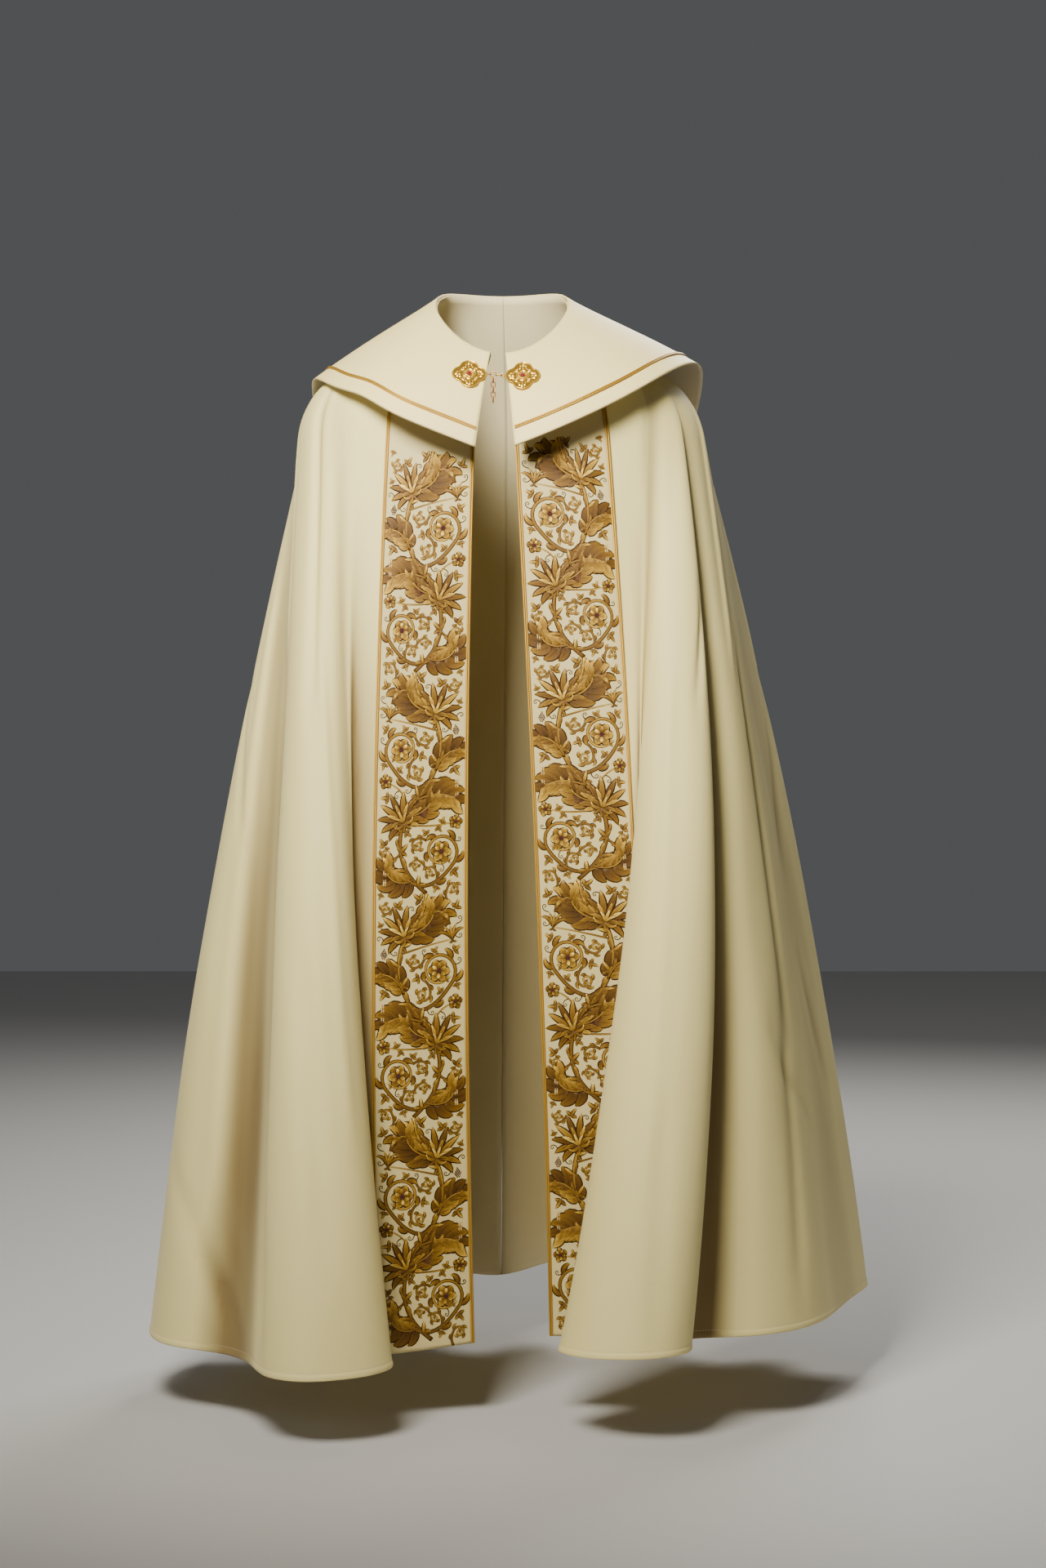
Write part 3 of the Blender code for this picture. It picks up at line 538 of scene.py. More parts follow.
def new_tree(name, sizes):
    """A geometry node tree with a geometry input, named sizes and a material."""
    tree = bpy.data.node_groups.new(name, "GeometryNodeTree")
    face = tree.interface
    face.new_socket("Geometry", in_out="INPUT", socket_type="NodeSocketGeometry")
    for label, kind, value in sizes:
        socket = face.new_socket(label, in_out="INPUT", socket_type=f"NodeSocket{kind}")
        socket.default_value = value
    face.new_socket("Material", in_out="INPUT", socket_type="NodeSocketMaterial")
    face.new_socket("Geometry", in_out="OUTPUT", socket_type="NodeSocketGeometry")
    return tree, tree.nodes.new("NodeGroupInput").outputs, tree.nodes.new("NodeGroupOutput").inputs


def finish_tree(tree, given, wanted, geometry, smooth):
    """Ends a tree in real geometry with its material."""
    if smooth:
        geometry = wired(tree, "GeometryNodeSetShadeSmooth", {"Geometry": geometry})["Geometry"]
    real = wired(tree, "GeometryNodeRealizeInstances", {"Geometry": geometry})
    paint = {"Geometry": real["Geometry"], "Material": given["Material"]}
    tree.links.new(wired(tree, "GeometryNodeSetMaterial", paint)["Geometry"], wanted["Geometry"])
    return tree


def kept_as(tree, geometry, name, value):
    """Keeps a number at each point of the geometry under a name."""
    inputs = {"Geometry": geometry, "Name": name, "Value": value}
    kind = "GeometryNodeStoreNamedAttribute"
    return wired(tree, kind, inputs, data_type="FLOAT", domain="POINT")["Geometry"]


def kept_value(tree, name, kind):
    return wired(tree, "GeometryNodeInputNamedAttribute", {"Name": name}, data_type=kind)["Attribute"]


def on_points(tree, points, shape, way, scale):
    """The shape on every point, with its Z axis turned along way."""
    aim = wired(tree, "FunctionNodeAlignRotationToVector", {"Vector": way}, axis="Z")
    inputs = {"Points": points, "Instance": shape, "Rotation": aim["Rotation"], "Scale": scale}
    return wired(tree, "GeometryNodeInstanceOnPoints", inputs)["Instances"]


def cord_tree():
    """Round cords that follow lines, each point knowing its place along and around."""
    sizes = [("Radius", "Float", 0.001), ("Spacing", "Float", 0.004), ("Sides", "Int", 8)]
    tree, given, wanted = new_tree("cord_along_lines", sizes)
    curve = wired(tree, "GeometryNodeMeshToCurve", {"Mesh": given["Geometry"]})
    spaced = {"Curve": curve["Curve"], "Length": given["Spacing"]}
    even = wired(tree, "GeometryNodeResampleCurve", spaced, mode="LENGTH")
    circle = {"Radius": 1.0, "Resolution": given["Sides"]}
    ring = wired(tree, "GeometryNodeCurvePrimitiveCircle", circle, mode="RADIUS")
    along = wired(tree, "GeometryNodeSplineParameter")["Length"]
    around = wired(tree, "GeometryNodeSplineParameter")["Factor"]
    sweep = wired(tree, "GeometryNodeCurveToMesh", {
        "Curve": kept_as(tree, even["Curve"], "along", along),
        "Profile Curve": kept_as(tree, ring["Curve"], "around", around),
        "Scale": given["Radius"],
        "Fill Caps": True,
    })
    return finish_tree(tree, given, wanted, sweep["Mesh"], True)


def stitch_tree():
    """Short stitches laid end to end along lines."""
    sizes = [("Pitch", "Float", 0.004), ("Length", "Float", 0.0028), ("Thread", "Float", 0.0003)]
    tree, given, wanted = new_tree("stitches_along_lines", sizes)
    curve = wired(tree, "GeometryNodeMeshToCurve", {"Mesh": given["Geometry"]})
    spaced = {"Curve": curve["Curve"], "Length": given["Pitch"]}
    even = wired(tree, "GeometryNodeCurveToPoints", spaced, mode="LENGTH")
    half = math_node(tree, "MULTIPLY", given["Length"], 0.5)
    shape = wired(tree, "ShaderNodeCombineXYZ", {"X": given["Thread"], "Y": given["Thread"], "Z": half})
    ball = wired(tree, "GeometryNodeMeshUVSphere", {"Segments": 6, "Rings": 4, "Radius": 1.0})
    stitches = on_points(tree, even["Points"], ball["Mesh"], even["Tangent"], shape["Vector"])
    return finish_tree(tree, given, wanted, stitches, False)


def bead_tree():
    """A bead on each point; its aim is the bead's long axis and its girth scales it."""
    sizes = [("Radius", "Float", 0.001), ("Slimness", "Float", 1.0), ("Detail", "Int", 2)]
    tree, given, wanted = new_tree("beads_on_points", sizes)
    points = wired(tree, "GeometryNodeMeshToPoints", {"Mesh": given["Geometry"]})
    ball = wired(tree, "GeometryNodeMeshIcoSphere", {"Radius": 1.0, "Subdivisions": given["Detail"]})
    size = math_node(tree, "MULTIPLY", kept_value(tree, "girth", "FLOAT"), given["Radius"])
    slim = math_node(tree, "DIVIDE", size, given["Slimness"])
    shape = wired(tree, "ShaderNodeCombineXYZ", {"X": slim, "Y": slim, "Z": size})
    way = kept_value(tree, "aim", "FLOAT_VECTOR")
    beads = on_points(tree, points["Points"], ball["Mesh"], way, shape["Vector"])
    return finish_tree(tree, given, wanted, beads, True)


def grown(name, mesh, tree, sizes, look):
    """Runs a node tree on a mesh and gives back the plain mesh that it makes."""
    seed = put_in_scene(name, mesh)
    modifier = seed.modifiers.new("tree", "NODES")
    modifier.node_group = tree
    ids = {
        item.name: item.identifier
        for item in tree.interface.items_tree
        if item.item_type == "SOCKET" and item.in_out == "INPUT"
    }
    for label, value in sizes.items():
        modifier[ids[label]] = value
    modifier[ids["Material"]] = look
    seen = seed.evaluated_get(bpy.context.evaluated_depsgraph_get())
    made = bpy.data.meshes.new_from_object(seen)
    made.name = name
    bpy.data.objects.remove(seed)
    return made


def grown_cord(name, lines, radius, spacing, sides, look, closed=False):
    seed = path_mesh(name, lines, closed)
    sizes = {"Radius": radius, "Spacing": spacing, "Sides": sides}
    return grown(name, seed, TREES["cord"], sizes, look)


def grown_beads(name, points, aims, girths, radius, slimness, look):
    seed = new_mesh(name, points)
    set_points(seed, "aim", aims, "FLOAT_VECTOR")
    set_points(seed, "girth", girths)
    sizes = {"Radius": radius, "Slimness": slimness, "Detail": 2}
    return grown(name, seed, TREES["bead"], sizes, look)


# Materials
def shader_group(name, inputs, outputs):
    """An empty shader node group that takes coordinates and named numbers."""
    group = bpy.data.node_groups.new(name, "ShaderNodeTree")
    face = group.interface
    face.new_socket("Coordinates", in_out="INPUT", socket_type="NodeSocketVector")
    for label, value in inputs:
        face.new_socket(label, in_out="INPUT", socket_type="NodeSocketFloat").default_value = value
    for label in outputs:
        face.new_socket(label, in_out="OUTPUT", socket_type="NodeSocketFloat")
    return group, group.nodes.new("NodeGroupInput").outputs, group.nodes.new("NodeGroupOutput").inputs


def weave_group():
    """Crossing threads, and slubs along them: a height and a shade."""
    inputs = [("Threads per metre", 1000.0), ("Slub", 0.3)]
    group, given, wanted = shader_group("woven_threads", inputs, ["Height", "Shade"])
    apart = wired(group, "ShaderNodeSeparateXYZ", {"Vector": given["Coordinates"]})
    rate = math_node(group, "MULTIPLY", given["Threads per metre"], 2.0 * math.pi)
    warp = math_node(group, "SINE", math_node(group, "MULTIPLY", apart["X"], rate))
    weft = math_node(group, "SINE", math_node(group, "MULTIPLY", apart["Y"], rate))
    cross = math_node(group, "MULTIPLY", warp, weft)
    drawn_out = {"Vector": given["Coordinates"], "Scale": (60.0, 900.0, 1.0)}
    stretch = wired(group, "ShaderNodeMapping", drawn_out)["Vector"]
    slub = wired(group, "ShaderNodeTexNoise", {"Vector": stretch, "Scale": 1.0, "Detail": 2.0})["Fac"]
    uneven = math_node(group, "MULTIPLY", slub, given["Slub"])
    group.links.new(math_node(group, "ADD", cross, uneven), wanted["Height"])
    group.links.new(slub, wanted["Shade"])
    return group


def cloud_group():
    """Soft uneven patches, as where cloth is rubbed or takes the light unevenly."""
    inputs = [("Patches per metre", 8.0), ("Contrast", 1.0)]
    group, given, wanted = shader_group("soft_patches", inputs, ["Factor"])
    noise = wired(group, "ShaderNodeTexNoise", {
        "Vector": given["Coordinates"],
        "Scale": given["Patches per metre"],
        "Detail": 4.0,
        "Roughness": 0.55,
    })
    off = math_node(group, "SUBTRACT", noise["Fac"], 0.5)
    scaled = math_node(group, "MULTIPLY", off, given["Contrast"])
    group.links.new(math_node(group, "ADD", scaled, 0.5), wanted["Factor"])
    return group


class Look:
    """One material being made: its tree, its shader and shorthand for its nodes."""

    def __init__(self, name, **values):
        self.made = bpy.data.materials.new(name)
        self.made.use_nodes = True
        self.tree = self.made.node_tree
        self.shader = self.tree.nodes["Principled BSDF"].inputs
        for label, value in values.items():
            self.shader[label.replace("_", " ")].default_value = value

    def cloth_coordinates(self):
        return wired(self.tree, "ShaderNodeUVMap", uv_map="cloth")["UV"]

    def attribute(self, name):
        return wired(self.tree, "ShaderNodeAttribute", attribute_name=name)["Fac"]

    def patches(self, cloud, coordinates, rate, contrast):
        """The soft patches' factor at these coordinates."""
        inputs = {"Coordinates": coordinates, "Patches per metre": rate, "Contrast": contrast}
        return wired(self.tree, "ShaderNodeGroup", inputs, node_tree=cloud)["Factor"]

    def object_patches(self, cloud, rate, contrast):
        coordinates = wired(self.tree, "ShaderNodeTexCoord")["Object"]
        return self.patches(cloud, coordinates, rate, contrast)

    def ramp(self, factor, stops):
        made = self.tree.nodes.new("ShaderNodeValToRGB")
        band = made.color_ramp
        while len(band.elements) < len(stops):
            band.elements.new(1.0)
        for element, (position, colour) in zip(band.elements, stops):
            element.position = position
            element.color = (*colour, 1.0)
        self.tree.links.new(factor, made.inputs["Fac"])
        return made.outputs["Color"]

    def blend(self, factor, first, second):
        """A colour between two, each a socket or three numbers."""
        mix = self.tree.nodes.new("ShaderNodeMix")
        mix.data_type = "RGBA"
        self.tree.links.new(factor, mix.inputs["Factor"])
        for label, value in (("A", first), ("B", second)):
            socket = [item for item in mix.inputs if item.name == label and item.type == "RGBA"][0]
            if isinstance(value, tuple):
                socket.default_value = (*value, 1.0)
            else:
                self.tree.links.new(value, socket)
        return [item for item in mix.outputs if item.type == "RGBA"][0]

    def colour(self, socket):
        self.tree.links.new(socket, self.shader["Base Color"])

    def bump(self, height, strength, distance):
        inputs = {"Strength": strength, "Distance": distance, "Height": height}
        self.tree.links.new(wired(self.tree, "ShaderNodeBump", inputs)["Normal"], self.shader["Normal"])


def cloth_look(name, valley, ridge, roughness, threads, toned, sheen, weave, cloud):
    """Woven cloth with shade painted into its folds, and uneven in soft patches."""
    weight, sheen_roughness = sheen
    look = Look(
        name, Roughness=roughness, Specular_IOR_Level=0.30, Sheen_Weight=weight,
        Sheen_Roughness=sheen_roughness, Sheen_Tint=SHEEN_TINT,
    )
    uv = look.cloth_coordinates()
    thread_inputs = {"Coordinates": uv, "Threads per metre": threads, "Slub": 0.5}
    woven = wired(look.tree, "ShaderNodeGroup", thread_inputs, node_tree=weave)
    patches = look.patches(cloud, uv, 7.0, 0.9)
    base = look.blend(patches, ridge, tuple(0.965 * part for part in ridge))
    # painted shade: where toned, the valley colour is mixed into the folds by the tone attribute
    if toned:
        base = look.blend(look.attribute("tone"), valley, base)
    shade = math_node(look.tree, "MULTIPLY", woven["Shade"], 0.10)
    look.colour(look.blend(shade, base, valley))
    look.bump(woven["Height"], 0.30, 0.00012)
    return look.made


def thread_look(name):
    """Gold embroidery thread: shaded from amber to pale gold, in fine laid stitches."""
    look = Look(name, Roughness=0.50, Metallic=0.15, Specular_IOR_Level=0.25)
    laid = {
        "Vector": look.cloth_coordinates(),
        "Rotation": (0.0, 0.0, 0.5),
        "Scale": (2600.0, 260.0, 1.0),
    }
    stitches = wired(look.tree, "ShaderNodeMapping", laid)["Vector"]
    strands = {"Vector": stitches, "Scale": 1.0, "Detail": 1.0}
    strand = wired(look.tree, "ShaderNodeTexNoise", strands)["Fac"]
    spread = math_node(look.tree, "MULTIPLY", math_node(look.tree, "SUBTRACT", strand, 0.5), 0.55)
    look.colour(look.ramp(math_node(look.tree, "ADD", look.attribute("tone"), spread), THREAD_STOPS))
    look.bump(strand, 0.5, 0.00025)
    return look.made


def plain_thread_look(name, dark, light, cloud):
    """Thread of one colour, a little uneven."""
    look = Look(name, Roughness=0.60, Specular_IOR_Level=0.10)
    patches = look.object_patches(cloud, 900.0, 1.4)
    look.colour(look.blend(patches, dark, light))
    look.bump(patches, 0.4, 0.0001)
    return look.made


def braid_look(name):
    """Twisted gold cord: gold on its strands, with shade painted brown between them."""
    look = Look(name, Roughness=0.34, Metallic=0.45)
    turns = math_node(look.tree, "MULTIPLY", look.attribute("along"), 1.0 / CORD_TWIST)
    twist = math_node(look.tree, "ADD", turns, look.attribute("around"))
    wave = math_node(look.tree, "SINE", math_node(look.tree, "MULTIPLY", twist, 4.0 * math.pi))
    height = math_node(look.tree, "ADD", math_node(look.tree, "MULTIPLY", wave, 0.5), 0.5)
    look.colour(look.ramp(height, CORD_GOLD_AND_PAINTED_SHADE))
    look.bump(height, 0.7, 0.0003)
    return look.made


def metal_look(name, bright, deep, roughness, toned, cloud):
    """Gilt metal, deeper in colour in its hollows."""
    look = Look(name, Roughness=roughness, Metallic=0.68)
    patches = look.object_patches(cloud, 420.0, 1.0)
    base = look.blend(patches, bright, tuple(0.86 * part for part in bright))
    if toned:
        base = look.blend(look.attribute("tone"), deep, base)
    look.colour(base)
    look.bump(patches, 0.25, 0.00025)
    return look.made


def stone_look(name, cloud):
    look = Look(name, Roughness=0.06, Coat_Weight=1.0, Coat_Roughness=0.03)
    look.colour(look.blend(look.object_patches(cloud, 260.0, 1.5), *STONE_COLOURS))
    return look.made


# cloths: the colour of the shade painted in the folds, which the slubs also lean towards, colour on the
# ridges, roughness, threads a metre, whether shade is painted in its folds, and the weight and roughness of
# its sheen
SHEEN_TINT = (1.0, 0.95, 0.82, 1.0)
CLOTHS = {
    "mantle": (
        "mantle_ivory_cloth", (0.250, 0.168, 0.056), (0.860, 0.735, 0.305), 0.60, 1100.0, True, (0.10, 0.45)
    ),
    "inside": (
        "mantle_inside_cloth", (0.60, 0.49, 0.26), (0.76, 0.66, 0.38), 0.62, 1100.0, False, (0.10, 0.50)
    ),
    "satin": (
        "orphrey_silky_satin", (0.42, 0.31, 0.13), (0.670, 0.545, 0.240), 0.50, 1500.0, False, (0.04, 0.30)
    ),
    "collar": (
        "collar_smooth_satin", (0.66, 0.52, 0.23), (0.930, 0.760, 0.310), 0.46, 1500.0, False, (0.06, 0.30)
    ),
    "lining": (
        "collar_pale_lining", (0.62, 0.52, 0.36), (0.80, 0.71, 0.53), 0.50, 1300.0, False, (0.08, 0.40)
    ),
}
# plain threads: darker and lighter colour
PLAIN_THREADS = {
    "brown_thread": ("embroidery_brown_outline", (0.020, 0.007, 0.002), (0.056, 0.021, 0.005)),
    "berry": ("embroidery_berry_dark", (0.050, 0.014, 0.014), (0.120, 0.040, 0.036)),
    "wheat": ("embroidery_wheat_pale", (0.560, 0.380, 0.130), (0.800, 0.610, 0.280)),
    "hem_thread": ("hem_stitch_thread", (0.62, 0.53, 0.36), (0.74, 0.66, 0.48)),
}
# metals: colour on the heights and in the hollows, roughness, and whether the hollows darken it
METALS = {
    "gold": ("clasp_polished_gilt", (0.960, 0.640, 0.085), (0.330, 0.170, 0.016), 0.27, True),
    "wire": ("clasp_gilt_wire", (0.680, 0.370, 0.055), (0.30, 0.14, 0.03), 0.30, False),
    "chain": ("chain_reddish_gilt", (0.460, 0.175, 0.035), (0.30, 0.14, 0.03), 0.34, False),
}
STONE_COLOURS = ((0.10, 0.006, 0.014), (0.34, 0.02, 0.04))
CORD_TWIST = 0.0042
# the cord's colour, from the shade painted between its strands to the gold of their crests
CORD_GOLD_AND_PAINTED_SHADE = [
    (0.00, (0.110, 0.044, 0.004)),
    (0.35, (0.400, 0.200, 0.018)),
    (1.00, (0.840, 0.520, 0.070)),
]
THREAD_STOPS = [
    (0.00, (0.070, 0.030, 0.003)),
    (0.28, (0.130, 0.060, 0.005)),
    (0.55, (0.245, 0.125, 0.010)),
    (0.82, (0.550, 0.325, 0.036)),
    (1.00, (0.950, 0.720, 0.190)),
]


def make_looks():
    weave, cloud = weave_group(), cloud_group()
    looks = {key: cloth_look(*values, weave, cloud) for key, values in CLOTHS.items()}
    looks.update({key: plain_thread_look(*values, cloud) for key, values in PLAIN_THREADS.items()})
    looks.update({key: metal_look(*values, cloud) for key, values in METALS.items()})
    looks["gold_thread"] = thread_look("embroidery_gold")
    looks["braid"] = braid_look("gold_braid_cord")
    looks["stone"] = stone_look("clasp_garnet_cut", cloud)
    return looks


# Mantle
def run_down(grid):
    """How far each point lies down its own column, measured along the cloth."""
    below = np.linalg.norm(np.diff(grid, axis=0), axis=2)
    return np.concatenate([np.zeros((1, grid.shape[1])), np.cumsum(below, axis=0)])


def hem_roll(from_hem):
    """How far the narrow rolled hem stands proud, by distance from the hem."""
    inside = np.clip(from_hem / HEM_ROLL, 0.0, 1.0)
    arch = np.sqrt(np.clip(1.0 - (2.0 * inside - 1.0) ** 2, 0.0, 1.0))
    return HEM_ROLL_HEIGHT * arch * (inside < 1.0)


def mantle_shares():
    """Rows down the mantle, with some close together where the hem is rolled."""
    near_hem = 1.0 - np.array(HEM_ROWS) / MANTLE_LENGTH
    return np.concatenate([np.linspace(0.0, near_hem[0], MANTLE_ROWS), near_hem[1:]])


def painted_fold_shade(grid, normals):
    """Painted shade: from 0 in a valley to 1 on a ridge, by how the cloth bends across its folds."""
    tone = np.full(grid.shape[:2], 0.80)
    count = grid.shape[1]
    for window, full_depth, weight in FOLD_SHADE_WINDOWS:
        padded = np.pad(grid, ((0, 0), (window, window), (0, 0)), mode="edge")
        beside = (padded[:, :count] + padded[:, 2 * window:2 * window + count]) / 2.0
        tone -= weight * np.sum((beside - grid) * normals, axis=2) / full_depth
    return np.clip(tone, 0.0, 1.0)


def build_mantle_half(side, looks):
    """One quarter circle of the mantle, with its rolled and stitched hem."""
    name = f"mantle_cloth_{side}"
    centre, end = place_of("centre_back"), fold_places()[-1]
    first, last = (0.0, centre) if side == "right" else (centre, end)
    places = np.linspace(first, last, int(round((last - first) / MANTLE_STEP)) + 1)
    grid, normals = cope_surface(places, mantle_shares())
    from_top = run_down(grid)
    roll = hem_roll(from_top[-1] - from_top)[..., None]
    outer = grid + normals * roll
    inner = grid - normals * (MANTLE_CLOTH + roll * 0.6)
    uv = np.stack([np.broadcast_to(places, from_top.shape), from_top], axis=2)
    mesh = wall_mesh(name, outer, inner, uv, [looks["mantle"], looks["inside"]])
    # the painted fold shade, kept as tone
    set_points(mesh, "tone", np.tile(painted_fold_shade(grid, normals).ravel(), 2))
    mantle = add_piece(name, mesh, [f"mantle_{side}"])
    stitches = hem_stitches(side, from_top, grid + normals * 0.0001, looks)


def hem_stitches(side, from_top, lifted, looks):
    """A line of stitches just above the rolled hem."""
    name = f"hem_stitches_{side}"
    line = np.array([
        [np.interp(run[-1] - HEM_STITCH, run, lifted[:, k, axis]) for axis in range(3)]
        for k, run in enumerate(from_top.T)
    ])
    sizes = {"Pitch": 0.0042, "Length": 0.0030, "Thread": 0.00028}
    mesh = grown(name, path_mesh(name, [line[1:-1]]), TREES["stitch"], sizes, looks["hem_thread"])
    return add_piece(name, mesh, smooth=False)


# Orphreys
class Band:
    """One front's embroidered band: u across it from the front edge, t up from the hem."""

    def __init__(self, side):
        self.side = side
        self.across = np.linspace(0.0, ORPHREY_WIDTH, BAND_COLUMNS)
        places = self.across if side == "right" else fold_places()[-1] - self.across[::-1]
        grid, normals = cope_surface(places, np.linspace(BAND_TOP_SHARE, 1.0, BAND_ROWS))
        if side == "left":
            grid, normals = grid[:, ::-1], normals[:, ::-1]
        self.grid, self.normals = grid, normals
        down = run_down(grid)[:, BAND_COLUMNS // 2]
        self.length = down[-1]
        self.up = self.length - down

    def at(self, u, t, height):
        """Points at u and t, that far above the mantle's face."""
        row = np.interp(-t, -self.up, np.arange(BAND_ROWS))
        column = np.clip(u / ORPHREY_WIDTH, 0.0, 1.0) * (BAND_COLUMNS - 1)
        i = np.clip(row.astype(int), 0, BAND_ROWS - 2)
        j = np.clip(column.astype(int), 0, BAND_COLUMNS - 2)
        a, b = (row - i)[:, None], (column - j)[:, None]

        def between(values):
            upper = values[i, j] * (1 - b) + values[i, j + 1] * b
            lower = values[i + 1, j] * (1 - b) + values[i + 1, j + 1] * b
            return upper * (1 - a) + lower * a

        return between(self.grid) + between(self.normals) * np.broadcast_to(height, t.shape)[:, None]


def build_orphrey(band, looks):
    """The satin strip itself."""
    name = f"orphrey_satin_{band.side}"
    base = band.grid + band.normals * SEAM_GAP
    top = band.grid + band.normals * ORPHREY_FACE
    up = np.broadcast_to(band.up[:, None], base.shape[:2])
    uv = np.stack([np.broadcast_to(band.across, up.shape), up], axis=2)
    if band.side == "left":
        base, top, uv = base[:, ::-1], top[:, ::-1], uv[:, ::-1]
    mesh = wall_mesh(name, top, base, uv, [looks["satin"]])
    piece = add_piece(name, mesh, [f"orphrey_{band.side}"])


def build_band_braid(band, edge, looks):
    """Two gold cords side by side along one edge of the band."""
    name = f"braid_{edge}_{band.side}"
    first = 0.0 if edge == "front" else ORPHREY_WIDTH - BRAID_WIDTH
    t = np.linspace(0.0006, band.length - 0.0006, 420)
    across = [np.full_like(t, first + BRAID_WIDTH * share) for share in CORD_SHARES]
    lines = [band.at(u, t, ORPHREY_FACE + BRAID_CORD) for u in across]
    mesh = grown_cord(name, lines, BRAID_CORD, BRAID_STEP, 8, looks["braid"])
    add_piece(name, mesh, [f"orphrey_braid_{edge}_{band.side}"])


# Embroidery, drawn flat: s from the band's middle, t up, in metres, angles in degrees
Strand = namedtuple("Strand", "path half tone lift plain")
Seed = namedtuple("Seed", "spot way size lift")


def direction(degrees):
    turn = math.radians(degrees)
    return np.array([math.cos(turn), math.sin(turn)])


def heading_of(way):
    return math.degrees(math.atan2(way[1], way[0]))


def left_of(way):
    return np.array([-way[1], way[0]])


def bent_path(start, heading, length, bend, curl, count):
    """A path that turns by bend degrees over its length, and by curl more towards its end."""
    share = np.linspace(0.0, 1.0, count)
    turn = np.radians(heading + bend * share + curl * share**3)
    step = length / (count - 1)
    middle = (turn[1:] + turn[:-1]) / 2.0
    steps = np.column_stack([np.cos(middle), np.sin(middle)]) * step
    return np.concatenate([[start], np.asarray(start) + np.cumsum(steps, axis=0)])


def through_points(points, count):
    """A smooth path through a few points."""
    points = np.array(points, dtype=float)
    knots = np.concatenate([[0.0], np.cumsum(np.linalg.norm(np.diff(points, axis=0), axis=1))])
    return smooth_through(knots, points, np.linspace(0.0, knots[-1], count))


def spiral_path(start, heading, radius, turns, side, count, inner):
    """A path that winds in from start; side is 1 to the left and -1 to the right."""
    first = math.radians(heading)
    share = np.linspace(0.0, 1.0, count)
    reach = radius * (1.0 - (1.0 - inner) * share**0.85)
    angle = first - side * math.pi / 2.0 + side * 2.0 * math.pi * turns * share
    centre = np.asarray(start) + radius * np.array([-side * math.sin(first), side * math.cos(first)])
    return centre + reach[:, None] * np.column_stack([np.cos(angle), np.sin(angle)])


def heading_at(path, k):
    return heading_of(path[min(k + 1, len(path) - 1)] - path[max(k - 1, 0)])


